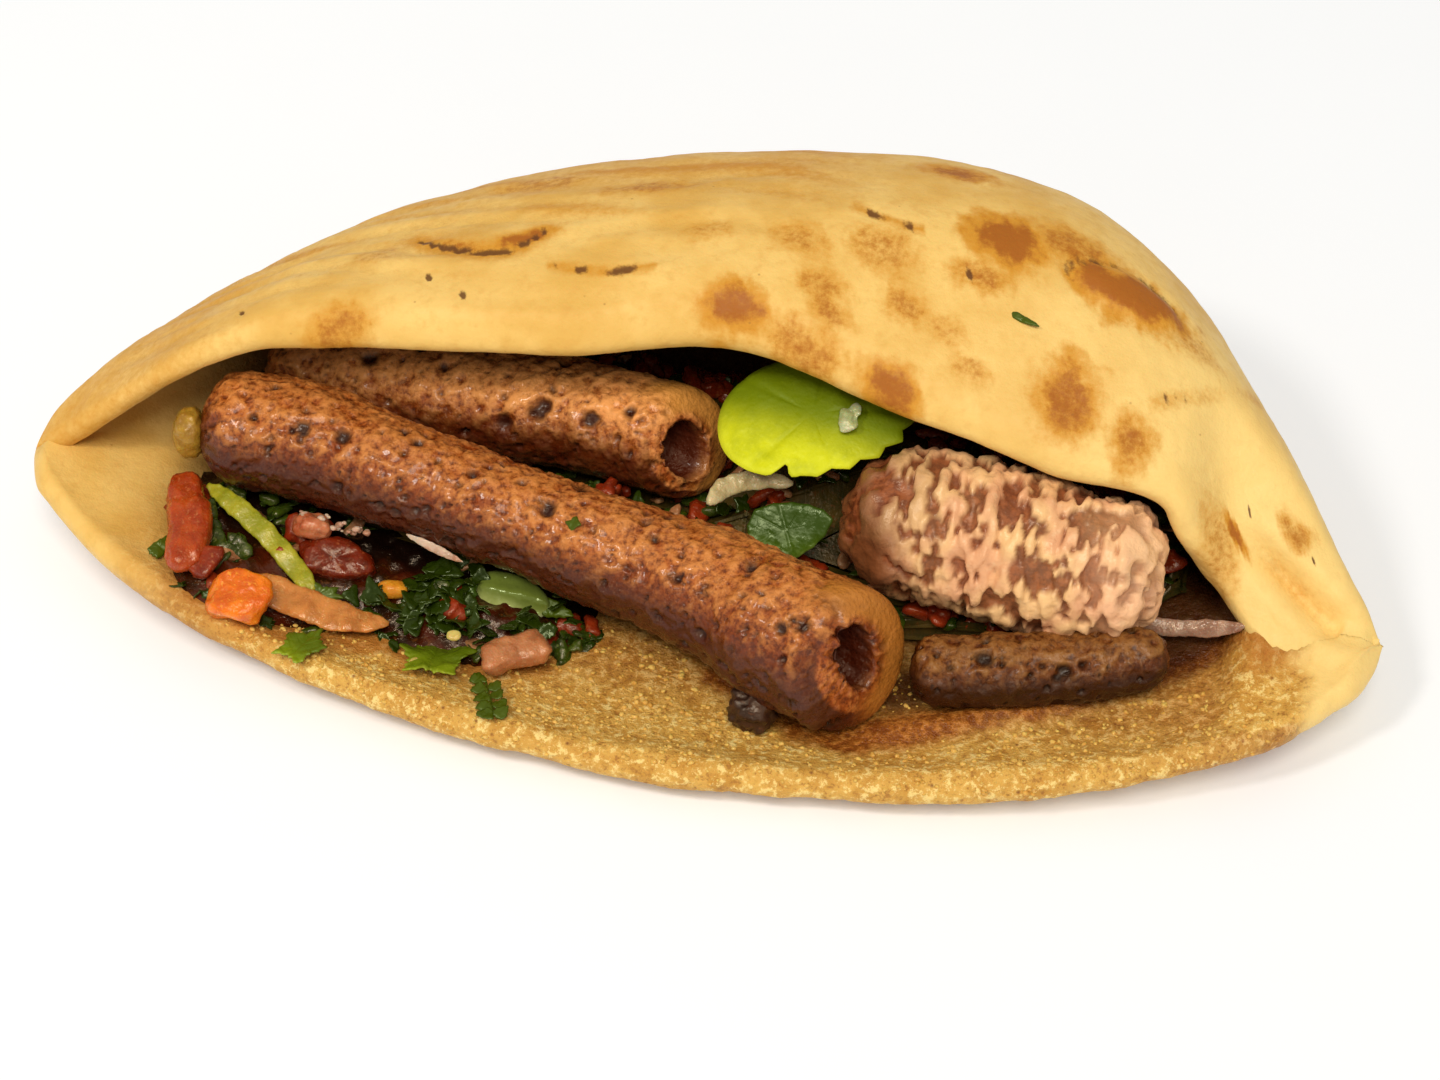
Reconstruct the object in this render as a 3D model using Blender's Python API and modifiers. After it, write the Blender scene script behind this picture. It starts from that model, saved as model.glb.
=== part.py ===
"""Folded flatbread sandwich with fat-wrapped kofta, leaves and chopped vegetables.

Blender 4.5. Lengths below are millimetres and become metres when a mesh is made.
+Z is up, X runs along the fold from corner to corner, and -Y is the open side. Lengths are laid out
from the bread's corners, and to_metres puts the origin under the middle of the whole.
"""

import math

import bpy
import numpy as np
from mathutils import Vector

MM = 0.001
ORIGIN_Y = 9.0

# Bread: one thick round, folded over. Every rail is a line along the length of its outer skin, which
# leaves the two corners and swells out to the (y, z) given here at the rail's fullest place.
HALF_LENGTH = 112.5
BREAD_THICKNESS = 5.0
CORNER_LEFT = (-5.0, 15.0)
CORNER_RIGHT = (-3.0, 13.0)
# name, y, z, fullest place along the length (-1 to 1), roundness left and right, sharpness left and right
RAILS = (
    ("rim", -49.0, 4.0, 0.05, 1.9, 1.9, 0.6, 0.5),
    ("belly", -33.5, -0.6, 0.05, 1.9, 2.2, 0.68, 0.6),
    ("sole", 4.0, -0.6, 0.1, 1.8, 2.4, 0.7, 0.8),
    ("heel", 37.0, -0.6, 0.2, 1.8, 2.6, 0.75, 1.4),
    ("back", 65.0, 24.0, 0.25, 2.1, 2.7, 0.75, 1.3),
    ("shoulder", 58.5, 50.0, 0.25, 2.1, 2.7, 0.75, 1.3),
    ("crown", 30.5, 61.0, 0.22, 2.0, 2.9, 0.7, 1.3),
)
# The flap's free edge: place along the length, then y and z.
LIP = (
    (-1.0, -5.0, 15.0), (-0.9, -6.0, 24.0), (-0.75, -7.0, 36.0), (-0.6, -4.0, 43.0),
    (-0.2, -3.0, 48.0), (0.05, 3.0, 50.0), (0.3, -1.5, 44.0), (0.5, -4.0, 39.0),
    (0.68, -3.0, 34.0), (0.76, -3.0, 20.0), (0.86, -11.0, 9.0), (1.0, -4.0, 13.0),
)
BROW_BACK, BROW_UP = 7.0, 8.0
STATIONS, AROUND = 90, 64
VOXEL = 1.7
BREAD_KEEP = 0.047

# Rolls: x, y, z and radius along each axis. The right end of a roll shows the slot that its skewer left.
KOFTA_FRONT = (
    (-81.5, -3.8, 24.8, 9.6), (-66.0, -3.4, 24.6, 9.9), (-48.5, -7.1, 23.6, 9.0), (-30.0, -11.0, 22.0, 8.7),
    (-12.0, -15.0, 20.3, 9.0), (6.0, -18.6, 18.6, 10.2), (20.0, -24.8, 17.6, 11.7), (32.5, -29.8, 17.2, 11.8),
)
KOFTA_BACK = (
    (-77.0, 16.6, 23.8, 8.4), (-60.0, 15.8, 23.0, 9.0), (-38.0, 13.2, 24.0, 9.2), (-18.0, 11.2, 25.0, 9.4),
    (0.0, 6.4, 25.2, 9.4),
)
KOFTA_RIGHT = ((39.5, -23.4, 11.8, 5.8), (56.0, -20.2, 12.6, 5.8), (68.0, -17.6, 13.4, 5.6), (79.0, -14.4, 15.2, 5.0))
FAT_ROLL = (
    (24.5, -4.6, 23.4, 9.5), (36.0, -4.2, 24.2, 11.4), (49.0, -4.2, 24.2, 12.2), (62.5, -5.4, 23.2, 11.9),
    (77.0, -5.4, 22.0, 10.6),
)
SLOT_RADIUS, SLOT_DEPTH = 4.1, 13.0

# Chopped salad: a mound under and behind the kofta.
HEAP_MIDDLE = (0.0, 13.0)
HEAP_HALF = (80.0, 25.0)
HEAP_HEIGHT = 21.0
CLEAR = 0.7

TOWARDS_OPEN = Vector((0.15, -0.73, 0.67)).normalized()
PARTS = "tarb_sandwich"
CUTTERS = "cutters"


def clear_scene():
    for thing in list(bpy.data.objects):
        bpy.data.objects.remove(thing, do_unlink=True)


def collection(name, hidden=False):
    group = bpy.data.collections.new(name)
    bpy.context.scene.collection.children.link(group)
    group.hide_render = hidden
    return group


def finish(name, color, roughness):
    """A plain Principled material of this colour."""
    material = bpy.data.materials.new(name)
    material.use_nodes = True
    shader = material.node_tree.nodes["Principled BSDF"]
    shader.inputs["Base Color"].default_value = (*color, 1.0)
    shader.inputs["Roughness"].default_value = roughness
    shader.inputs["Metallic"].default_value = 0.0
    return material


def to_metres(point):
    return (point[0] * MM, (point[1] - ORIGIN_Y) * MM, point[2] * MM)


def mesh_object(name, points, faces, color, roughness=0.5, group=PARTS):
    """A mesh from points in millimetres, its faces turned outwards."""
    mesh = bpy.data.meshes.new(name)
    mesh.from_pydata([to_metres(p) for p in points], [], faces)
    mesh.validate()
    volume = sum(
        mesh.vertices[t.vertices[0]].co.dot(mesh.vertices[t.vertices[1]].co.cross(mesh.vertices[t.vertices[2]].co))
        for t in mesh.loop_triangles or triangles(mesh)
    )
    if volume < 0:
        mesh.flip_normals()
    made = bpy.data.objects.new(name, mesh)
    bpy.data.collections[group].objects.link(made)
    if group == PARTS:
        mesh.materials.append(finish(name, color, roughness))
    else:
        made.hide_render = True
        made.display_type = "WIRE"
    return made


def triangles(mesh):
    mesh.calc_loop_triangles()
    return mesh.loop_triangles


def cut(target, cutter):
    step = target.modifiers.new("cut_" + cutter.name, "BOOLEAN")
    step.operation = "DIFFERENCE"
    step.solver = "EXACT"
    step.object = cutter


# ---- curves


def spline(points, place):
    """A Catmull-Rom curve through the points, at place 0 to 1."""
    points = np.asarray(points, float)
    ends = np.vstack([2 * points[0] - points[1], points, 2 * points[-1] - points[-2]])
    run = place * (len(points) - 1)
    i = min(int(run), len(points) - 2)
    f = run - i
    a, b, c, d = ends[i : i + 4]
    return 0.5 * (2 * b + (c - a) * f + (2 * a - 5 * b + 4 * c - d) * f**2 + (3 * b - a - 3 * c + d) * f**3)


def along_table(table, t):
    """A smooth curve through rows of (t, y, z), read at t."""
    starts = [row[0] for row in table]
    i = max(0, min(len(table) - 2, int(np.searchsorted(starts, t)) - 1))
    rows = np.asarray(table, float)

    def slope(j):
        a, b = max(0, j - 1), min(len(rows) - 1, j + 1)
        return (rows[b, 1:] - rows[a, 1:]) / (rows[b, 0] - rows[a, 0])

    h = rows[i + 1, 0] - rows[i, 0]
    f = (t - rows[i, 0]) / h
    return ((2 * f**3 - 3 * f**2 + 1) * rows[i, 1:] + (f**3 - 2 * f**2 + f) * h * slope(i)
            + (3 * f**2 - 2 * f**3) * rows[i + 1, 1:] + (f**3 - f**2) * h * slope(i + 1))


def smoothstep(low, high, x):
    f = np.clip((x - low) / (high - low), 0.0, 1.0)
    return f * f * (3 - 2 * f)


# ---- bread


def swell(t, peak, round_left, round_right, sharp_left, sharp_right):
    """How far a rail has left the corners at t: 0 at both ends and 1 at its peak."""
    if t < peak:
        return max(0.0, 1 - ((peak - t) / (1 + peak)) ** round_left) ** sharp_left
    return max(0.0, 1 - ((t - peak) / (1 - peak)) ** round_right) ** sharp_right


def rails_at(t):
    corner = np.array(CORNER_LEFT) * (1 - t) / 2 + np.array(CORNER_RIGHT) * (1 + t) / 2
    points = [corner + (np.array([y, z]) - corner) * swell(t, *shape) for _, y, z, *shape in RAILS]
    lip = along_table(LIP, t)
    brow = lip + np.array([BROW_BACK, BROW_UP]) * swell(t, 0.1, 2.0, 2.0, 0.7, 0.7)
    return points + [brow, lip]


def section(t, count=AROUND):
    """The outer skin across the bread at t, from the front rim under and over to the lip."""
    rails = rails_at(t)
    return np.array([spline(rails, j / count) for j in range(count + 1)])


def inner_section(t):
    """The inner skin across the bread at t. The wall is thicker in this plane where the skin runs askew to it."""
    outer = section(t)
    run = np.gradient(outer, axis=0)
    run /= np.maximum(np.linalg.norm(run, axis=1, keepdims=True), 1e-9)
    inward = np.stack([-run[:, 1], run[:, 0]], axis=1)
    step = 0.01
    drift = (section(min(1.0, t + step)) - section(max(-1.0, t - step))) / (2 * step * HALF_LENGTH)
    askew = (drift * inward).sum(axis=1, keepdims=True)
    return outer + BREAD_THICKNESS * np.sqrt(1 + askew**2) * inward


INNER = {}


def inner_at(x):
    key = round(x / HALF_LENGTH, 2)
    if key not in INNER:
        INNER[key] = inner_section(max(-0.97, min(0.97, key)))
    return INNER[key]


def floor_height(x, y):
    """Height of the bread's inner skin below the filling."""
    skin = inner_at(x)
    lowest = int(np.argmax(skin[: AROUND * 3 // 4, 0]))
    lower = skin[: lowest + 1]
    order = np.argsort(lower[:, 0])
    return max(BREAD_THICKNESS - 0.6, float(np.interp(y, lower[order, 0], lower[order, 1])))


def ceiling_height(x, y):
    """Height of the flap's inner skin, or a great height in front of the lip."""
    skin = inner_at(x)
    upper = skin[AROUND // 2 :]
    if y < upper[-1, 0]:
        return 999.0
    order = np.argsort(upper[:, 0])
    return float(np.interp(y, upper[order, 0], upper[order, 1]))


def laid(x, y, lift):
    """The point this far above the bread's inner skin."""
    return (x, y, floor_height(x, y) + lift)


def lying(x, y, turn=0.0):
    """Across and along vectors of a thing that lies on the bread at (x, y), turned about Z."""
    step = 3.0
    rise_x = (floor_height(x + step, y) - floor_height(x - step, y)) / (2 * step)
    rise_y = (floor_height(x, y + step) - floor_height(x, y - step)) / (2 * step)
    c, d = math.cos(turn), math.sin(turn)
    return (c, d, c * rise_x + d * rise_y), (-d, c, c * rise_y - d * rise_x)


def make_bread():
    places = [math.sin(math.pi / 2 * (2 * i / STATIONS - 1)) for i in range(STATIONS + 1)]
    points, faces = [], []
    for t in places:
        points += [(HALF_LENGTH * t, y, z) for y, z in section(t)]
    row = AROUND + 1
    for i in range(STATIONS):
        for j in range(AROUND):
            a = i * row + j
            faces.append((a, a + 1, a + 1 + row, a + row))
    mesh = bpy.data.meshes.new("bread")
    mesh.from_pydata([to_metres(p) for p in points], [], faces)
    bread = bpy.data.objects.new("bread", mesh)
    bpy.data.collections[PARTS].objects.link(bread)
    mesh.materials.append(finish("bread", (0.72, 0.47, 0.20), 0.75))

    weld = bread.modifiers.new("corners", "WELD")
    weld.merge_threshold = 0.00005
    wall = bread.modifiers.new("thickness", "SOLIDIFY")
    wall.thickness = BREAD_THICKNESS * MM
    wall.offset = -1.0 if faces_point_out(mesh) else 1.0
    fuse = bread.modifiers.new("fuse", "REMESH")
    fuse.mode = "VOXEL"
    fuse.voxel_size = VOXEL * MM
    soften = bread.modifiers.new("soften", "SMOOTH")
    soften.factor, soften.iterations = 0.5, 6
    fewer = bread.modifiers.new("fewer_faces", "DECIMATE")
    fewer.ratio = BREAD_KEEP
    ground = box_cutter("ground", (0, 0, -10), (300, 200, 20))
    cut(bread, ground)
    return bread


def faces_point_out(mesh):
    """Whether the skin's normals point away from the filling, judged at the face nearest the top."""
    top = max(mesh.polygons, key=lambda face: face.center.z)
    return top.normal.z > 0


def box_cutter(name, middle, size):
    corners = [(middle[0] + sx * size[0] / 2, middle[1] + sy * size[1] / 2, middle[2] + sz * size[2] / 2)
               for sz in (-1, 1) for sx, sy in ((-1, -1), (1, -1), (1, 1), (-1, 1))]
    faces = [(3, 2, 1, 0), (4, 5, 6, 7)] + [(k, (k + 1) % 4, (k + 1) % 4 + 4, k + 4) for k in range(4)]
    return mesh_object(name, corners, faces, None, group=CUTTERS)


# ---- rolls, strips, leaves and chunks


def loft(rings):
    """Points and faces of a closed body through the rings, with a fan over each end."""
    sides = len(rings[0])
    points = [p for ring in rings for p in ring]
    faces = []
    for i in range(len(rings) - 1):
        for k in range(sides):
            a, b = i * sides + k, i * sides + (k + 1) % sides
            faces.append((a, b, b + sides, a + sides))
    for ring, first, turn in ((rings[0], 0, True), (rings[-1], (len(rings) - 1) * sides, False)):
        middle = len(points)
        points.append(tuple(np.mean(np.asarray(ring), axis=0)))
        for k in range(sides):
            a, b = first + k, first + (k + 1) % sides
            faces.append((middle, b, a) if turn else (middle, a, b))
    return points, faces


def path_frames(axis, places):
    """Centre, direction, sideways and upward unit vectors at each place along the axis."""
    frames = []
    for s in places:
        centre = spline(axis, s)[:3]
        run = (spline(axis, min(1.0, s + 0.01)) - spline(axis, max(0.0, s - 0.01)))[:3]
        run /= np.linalg.norm(run)
        side = np.cross(run, (0, 0, 1.0))
        side /= np.linalg.norm(side)
        frames.append((centre, run, side, np.cross(side, run)))
    return frames


def axis_length(axis):
    points = np.array([spline(axis, i / 60)[:3] for i in range(61)])
    return float(np.linalg.norm(np.diff(points, axis=0), axis=1).sum())


def dome(depth, radius):
    """Share of the full radius at this depth below a domed end."""
    f = min(1.0, depth / radius)
    return math.sqrt(max(0.0, 1 - (1 - f) ** 2))


def roll_rings(axis, left_dome, right_dome, grow=0.0, slant=0.0, ripple=0.0, folds=9, sides=18, rings=16):
    """Rings of a meat or fat roll: domed ends, an optional slanted right end and soft folds across it."""
    length = axis_length(axis)
    shares = [0.5 - 0.5 * math.cos(math.pi * i / rings) for i in range(rings + 1)]
    shares = [min(max(s, 0.004), 0.996) for s in shares]
    made = []
    for s, (centre, run, side, up) in zip(shares, path_frames(axis, shares)):
        reach = s * length
        radius = spline(axis, s)[3] * dome(reach, left_dome) * dome(length - reach, right_dome)
        late = float(smoothstep(length - 24, length, reach))
        ring = []
        for k in range(sides):
            turn = 2 * math.pi * k / sides
            fold = 1 + ripple * math.sin(folds * 2 * math.pi * s + 1.5 * math.sin(turn)) * math.cos(turn - 0.6)
            offset = (side * math.cos(turn) + up * math.sin(turn)) * (radius * fold + grow)
            lean = -slant * late * float(offset @ np.array(TOWARDS_OPEN))
            ring.append(tuple(centre + offset + run * lean))
        made.append(ring)
    return made


def make_roll(name, color, axis, **shape):
    return mesh_object(name, *loft(roll_rings(axis, **shape)), color, 0.45)


def press(target, axis, **shape):
    """Hollows the target where this roll lies against it, with a small gap."""
    cut(target, mesh_object(target.name + "_pressed", *loft(roll_rings(axis, grow=0.45, **shape)), None, group=CUTTERS))


def end_slot(target, axis, depth, width):
    """The blind, narrowing slot left by a skewer in the right end of a roll."""
    end = np.asarray(axis[-1], float)[:3]
    inward = spline(axis, 0.9)[:3] - end
    inward /= np.linalg.norm(inward)
    mouth = end - inward * 6 + np.array(TOWARDS_OPEN) * width * 0.3
    tip = end + inward * depth
    line = [tuple(mouth + (tip - mouth) * f) for f in (0, 0.35, 0.7, 1.0)]
    rings = []
    for (centre, _, side, up), size in zip(path_frames(line, (0, 0.35, 0.6, 0.8, 0.93, 1.0)),
                                           (1.0, 1.0, 0.95, 0.8, 0.6, 0.3)):
        rings.append([tuple(centre + width * size * (side * 0.8 * math.cos(a) + up * math.sin(a)))
                      for a in (2 * math.pi * k / 12 for k in range(12))])
    cut(target, mesh_object(target.name + "_slot", *loft(rings), None, group=CUTTERS))


def strip(name, color, path, width, thickness, flat, taper=0.35, rings=8, roughness=0.4):
    """A flat strip along the path. Its broad side faces the direction given as flat."""
    flat = np.asarray(flat, float)
    rings_made = []
    for i in range(rings + 1):
        s = i / rings
        centre, run, _, _ = path_frames(path, (s,))[0]
        across = np.cross(run, flat)
        across /= np.linalg.norm(across)
        normal = np.cross(across, run)
        size = taper + (1 - taper) * math.sin(math.pi * min(max(s, 0.02), 0.98)) ** 0.5
        ring = []
        for k in range(8):
            a = 2 * math.pi * k / 8
            u, v = math.cos(a), math.sin(a)
            ring.append(tuple(centre + across * width / 2 * size * math.copysign(abs(u) ** 0.8, u)
                              + normal * thickness / 2 * size * math.copysign(abs(v) ** 0.6, v)))
        rings_made.append(ring)
    return mesh_object(name, *loft(rings_made), color, roughness)


def leaf(name, color, middle, across, along, half_width, half_length, edge, cup, thickness, steps=28):
    """A thin cupped leaf. edge(turn) scales the outline and cup(u, v) lifts it."""
    across, along = np.asarray(across, float), np.asarray(along, float)
    across /= np.linalg.norm(across)
    along = along - across * (along @ across)
    along /= np.linalg.norm(along)
    normal = np.cross(across, along)

    def place(turn, share, side):
        u = half_width * share * edge(turn) * math.cos(turn)
        v = half_length * share * edge(turn) * math.sin(turn)
        thin = thickness / 2 * (1 if share < 0.9 else 0.7)
        return tuple(np.asarray(middle) + across * u + along * v + normal * (cup(u, v) + side * thin))

    turns = [2 * math.pi * k / steps for k in range(steps)]
    shares = (0.4, 0.85, 1.0)
    rings = [[place(a, share, 1) for a in turns] for share in shares]
    rings += [[place(a, share, -1) for a in turns] for share in reversed(shares)]
    return mesh_object(name, *loft(rings), color, 0.4)


def chunk(name, color, middle, half, turn=0.0, tip=0.0, boxy=0.55, lumps=0.06, roughness=0.35, sides=10, rings=6):
    """A cut piece with rounded corners: half sizes, turned about Z and tipped about its own long axis."""
    made = []
    for i in range(rings + 1):
        lat = math.pi * (min(max(i / rings, 0.03), 0.97) - 0.5)
        ring = []
        for k in range(sides):
            lon = 2 * math.pi * k / sides
            wave = 1 + lumps * math.sin(3 * lon + 2.0 * lat + half[0]) + lumps * math.sin(5 * lat + lon)
            x, y, z = (math.cos(lat) * math.cos(lon), math.cos(lat) * math.sin(lon), math.sin(lat))
            x, y, z = (math.copysign(abs(c) ** boxy, c) * h * wave for c, h in zip((x, y, z), half))
            y, z = y * math.cos(tip) - z * math.sin(tip), y * math.sin(tip) + z * math.cos(tip)
            ring.append((middle[0] + x * math.cos(turn) - y * math.sin(turn),
                         middle[1] + x * math.sin(turn) + y * math.cos(turn), middle[2] + z))
        made.append(ring)
    return mesh_object(name, *loft(made), color, roughness)


def scallops(count, depth):
    return lambda turn: 1 - depth * abs(math.sin(count * turn / 2))


# ---- salad heap


def underside(axis, x, y):
    """Height of a roll's lower surface over (x, y), or a great height beside it."""
    points = np.array([spline(axis, i / 40) for i in range(41)])
    away = np.hypot(points[:, 0] - x, points[:, 1] - y)
    drop = np.sqrt(np.maximum(0.0, (points[:, 3] + 2.8) ** 2 - away**2))
    near = away < points[:, 3] + 4.5
    return float((points[near, 2] - drop[near]).min()) if near.any() else 999.0


def heap_top(x, y):
    """The mound's own height over the bread, before the kofta press on it."""
    u, v = (x - HEAP_MIDDLE[0]) / HEAP_HALF[0], (y - HEAP_MIDDLE[1]) / HEAP_HALF[1]
    share = max(0.0, 1 - abs(u) ** 2.6 - abs(v) ** 3.5)
    bumps = 0.8 * math.sin(0.31 * x + 0.2 * y) + 0.7 * math.sin(0.19 * x - 0.43 * y + 1.0)
    return floor_height(x, y) + 1.6 + (HEAP_HEIGHT - 5 + bumps) * share**0.5


def make_salad():
    long_steps, cross_steps = 28, 10
    top, bottom = [], []
    for i in range(long_steps + 1):
        u = math.sin(math.pi / 2 * (2 * i / long_steps - 1) * 0.985)
        reach = max(0.05, 1 - abs(u) ** 2.6) ** (1 / 2.6)
        for j in range(cross_steps + 1):
            v = math.sin(math.pi / 2 * (2 * j / cross_steps - 1)) * reach
            x, y = HEAP_MIDDLE[0] + HEAP_HALF[0] * u, HEAP_MIDDLE[1] + HEAP_HALF[1] * v
            low = floor_height(x, y) + CLEAR
            over = (underside(axis, x, y) for axis in (KOFTA_FRONT, KOFTA_BACK, KOFTA_RIGHT, FAT_ROLL))
            high = min(heap_top(x, y), ceiling_height(x, y) - 2.0, *over)
            top.append((x, y, max(high, low + 0.8)))
            bottom.append((x, y, low))
    row, count = cross_steps + 1, len(top)
    faces = []
    for i in range(long_steps):
        for j in range(cross_steps):
            a = i * row + j
            quad = (a, a + row, a + row + 1, a + 1)
            faces += [quad, tuple(count + k for k in reversed(quad))]
    border = [j for j in range(row)] + [i * row + row - 1 for i in range(1, long_steps + 1)]
    border += [long_steps * row + j for j in range(row - 2, -1, -1)] + [i * row for i in range(long_steps - 1, 0, -1)]
    for a, b in zip(border, border[1:] + border[:1]):
        faces.append((a, b, count + b, count + a))
    return mesh_object("salad", top + bottom, faces, (0.10, 0.16, 0.03), 0.5)


# ---- the whole


def make_rolls():
    front_ends = {"left_dome": 7.0, "right_dome": 3.0, "slant": 0.42}
    front = make_roll("kofta_front", (0.36, 0.13, 0.035), KOFTA_FRONT, ripple=0.03, folds=7, **front_ends)
    end_slot(front, KOFTA_FRONT, SLOT_DEPTH, SLOT_RADIUS)
    back = make_roll("kofta_back", (0.38, 0.14, 0.04), KOFTA_BACK, ripple=0.03, folds=5, **front_ends)
    end_slot(back, KOFTA_BACK, SLOT_DEPTH, SLOT_RADIUS)
    right_ends = {"left_dome": 3.5, "right_dome": 5.0, "sides": 14, "rings": 10}
    make_roll("kofta_right", (0.22, 0.08, 0.03), KOFTA_RIGHT, ripple=0.03, folds=3, **right_ends)
    roll = make_roll("fat_roll", (0.62, 0.34, 0.22), FAT_ROLL, left_dome=10.0, right_dome=8.0,
                     ripple=0.03, folds=7)
    press(roll, KOFTA_RIGHT, **right_ends)
    nub = chunk("kofta_nub", (0.10, 0.05, 0.03), laid(16.5, -32.6, 4.0), (3.2, 3.0, 3.2), lumps=0.1, boxy=0.9)
    press(nub, KOFTA_FRONT, **front_ends)
    knob = chunk("pickle_slice", (0.36, 0.36, 0.05), (-83.0, -6.6, 25.6), (2.2, 3.6, 4.4), turn=0.25, lumps=0.03)
    press(knob, KOFTA_FRONT, **front_ends)


def make_greens():
    leaf("round_leaf", (0.42, 0.52, 0.03), (18.2, 4.0, 37.2), (0.96, 0.2, 0.12), (-0.1, 0.86, 0.42), 16.5, 12.0,
         scallops(11, 0.1), lambda u, v: -0.006 * (u * u + v * v), 1.2)
    leaf("green_leaf", (0.03, 0.13, 0.01), (16.4, -6.6, 22.4), (0.9, 0.3, 0.25), (-0.3, 0.6, 0.7), 7.5, 5.0,
         scallops(3, 0.25), lambda u, v: 0.02 * u * u, 1.1, steps=18)
    leaf("parsley_large", (0.06, 0.20, 0.01), laid(-35.7, -32.2, 1.6), *lying(-35.7, -32.2, 0.15), 6.4, 6.6,
         scallops(5, 0.28), lambda u, v: 0.02 * u * u, 1.1, steps=20)
    leaf("parsley_dark", (0.02, 0.09, 0.01), laid(-36.2, -20.6, 3.6), (0.97, 0.1, -0.1), (0.0, 0.85, 0.5), 5.0, 4.4,
         scallops(5, 0.2), lambda u, v: -0.02 * u * u, 1.1, steps=18)
    leaf("parsley_rim", (0.03, 0.14, 0.01), laid(-56.0, -36.6, 1.7), *lying(-56.0, -36.6, -0.3), 4.2, 5.0,
         scallops(5, 0.25), lambda u, v: 0.0, 1.0, steps=16)
    strip("green_strip", (0.30, 0.42, 0.03), (laid(-79.6, -10.4, 6.4), laid(-70.9, -15.6, 7.0),
          laid(-63.4, -21.2, 5.4), laid(-57.8, -25.6, 3.6)), 4.2, 1.5, TOWARDS_OPEN)
    strip("pepper_curl", (0.03, 0.12, 0.02), (laid(-77.4, -14.2, 5.4), laid(-76.3, -18.8, 3.6),
          laid(-72.4, -22.2, 2.8), laid(-70.2, -19.4, 3.0)), 3.6, 1.2, TOWARDS_OPEN)
    leaf("pepper_slice", (0.10, 0.24, 0.08), laid(-27.8, -17.2, 4.2), (0.97, -0.1, -0.05), (0.0, 0.8, 0.6), 7.4, 4.0,
         scallops(2, 0.08), lambda u, v: -0.03 * u * u, 1.2, steps=18)


def make_vegetables():
    strip("tomato_tall", (0.52, 0.07, 0.02), (laid(-82.8, -12.0, 8.0), laid(-81.0, -18.0, 5.0),
          laid(-77.6, -26.0, 3.0)), 5.2, 3.2, TOWARDS_OPEN, taper=0.6, rings=7)
    chunk("tomato_front", (0.75, 0.16, 0.01), laid(-67.6, -31.0, 4.2), (5.2, 3.2, 2.4), turn=-0.15, tip=0.4)
    chunk("tomato_mid", (0.50, 0.10, 0.04), laid(-55.7, -17.6, 3.8), (6.0, 2.8, 2.7), turn=0.1, tip=0.4)
    chunk("tomato_pink", (0.55, 0.16, 0.09), laid(-60.4, -15.2, 8.6), (2.8, 1.9, 1.8), turn=0.2, boxy=0.8)
    strip("onion_slice", (0.62, 0.33, 0.15), (laid(-60.6, -28.6, 1.7), laid(-55.6, -27.2, 1.6),
          laid(-50.0, -26.0, 1.5), laid(-44.5, -25.4, 1.5)), 4.4, 1.1, (0, 0, 1))
    strip("onion_ring", (0.72, 0.70, 0.55), ((3.6, -6.2, 25.2), (5.6, -2.2, 26.0), (10.4, 0.4, 26.2), (16.0, 0.8, 26.0)),
          3.2, 1.5, (0.3, -0.6, 0.7), taper=0.7)
    strip("onion_strip", (0.42, 0.36, 0.26), (laid(73.0, -6.0, 4.0), laid(79.8, -5.2, 3.2), laid(85.0, -5.2, 2.4),
          laid(90.0, -5.6, 2.0)), 3.4, 1.1, TOWARDS_OPEN)
    chunk("onion_pink", (0.55, 0.26, 0.18), laid(-23.0, -28.4, 2.9), (5.2, 3.0, 1.7), turn=0.3, tip=0.05)


clear_scene()
collection(PARTS)
collection(CUTTERS, hidden=True)
make_bread()
make_rolls()
make_greens()
make_vegetables()
make_salad()
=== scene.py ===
"""Looks of the folded flatbread sandwich with fat-wrapped kofta, leaves and chopped vegetables.

Blender 4.5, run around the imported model. Shapes are laid out in millimetres as the solids are, and
in_frame() moves them into the frame's metres. +Z is up, X runs along the fold and -Y is the open side.
"""

import itertools
import math

import bpy
import numpy as np
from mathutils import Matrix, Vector
from mathutils.bvhtree import BVHTree


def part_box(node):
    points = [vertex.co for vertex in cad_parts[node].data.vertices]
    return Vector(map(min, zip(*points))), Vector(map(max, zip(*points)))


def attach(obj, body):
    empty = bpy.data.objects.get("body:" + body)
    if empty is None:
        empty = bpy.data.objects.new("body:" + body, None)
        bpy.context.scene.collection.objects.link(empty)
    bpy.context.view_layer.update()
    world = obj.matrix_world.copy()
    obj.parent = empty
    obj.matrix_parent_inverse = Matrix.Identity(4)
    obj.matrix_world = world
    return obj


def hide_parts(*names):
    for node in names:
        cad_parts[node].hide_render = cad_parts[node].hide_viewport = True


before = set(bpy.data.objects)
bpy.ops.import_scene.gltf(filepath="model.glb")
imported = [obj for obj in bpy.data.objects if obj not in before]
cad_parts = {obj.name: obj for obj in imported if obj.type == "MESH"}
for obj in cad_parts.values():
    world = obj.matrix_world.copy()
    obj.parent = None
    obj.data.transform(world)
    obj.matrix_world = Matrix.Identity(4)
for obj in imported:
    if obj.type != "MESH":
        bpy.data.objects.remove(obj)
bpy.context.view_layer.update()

MM = 0.001
BODY = "root"
# The layout's origin is midway between the bread's corners; the frame's is under the middle of the whole.
ORIGIN_Y = 9.0

# The bread's driving sizes, as in the solid.
HALF_LENGTH = 112.5
BREAD_THICKNESS = 5.0
CORNER_LEFT = (-5.0, 15.0)
CORNER_RIGHT = (-3.0, 13.0)
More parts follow.
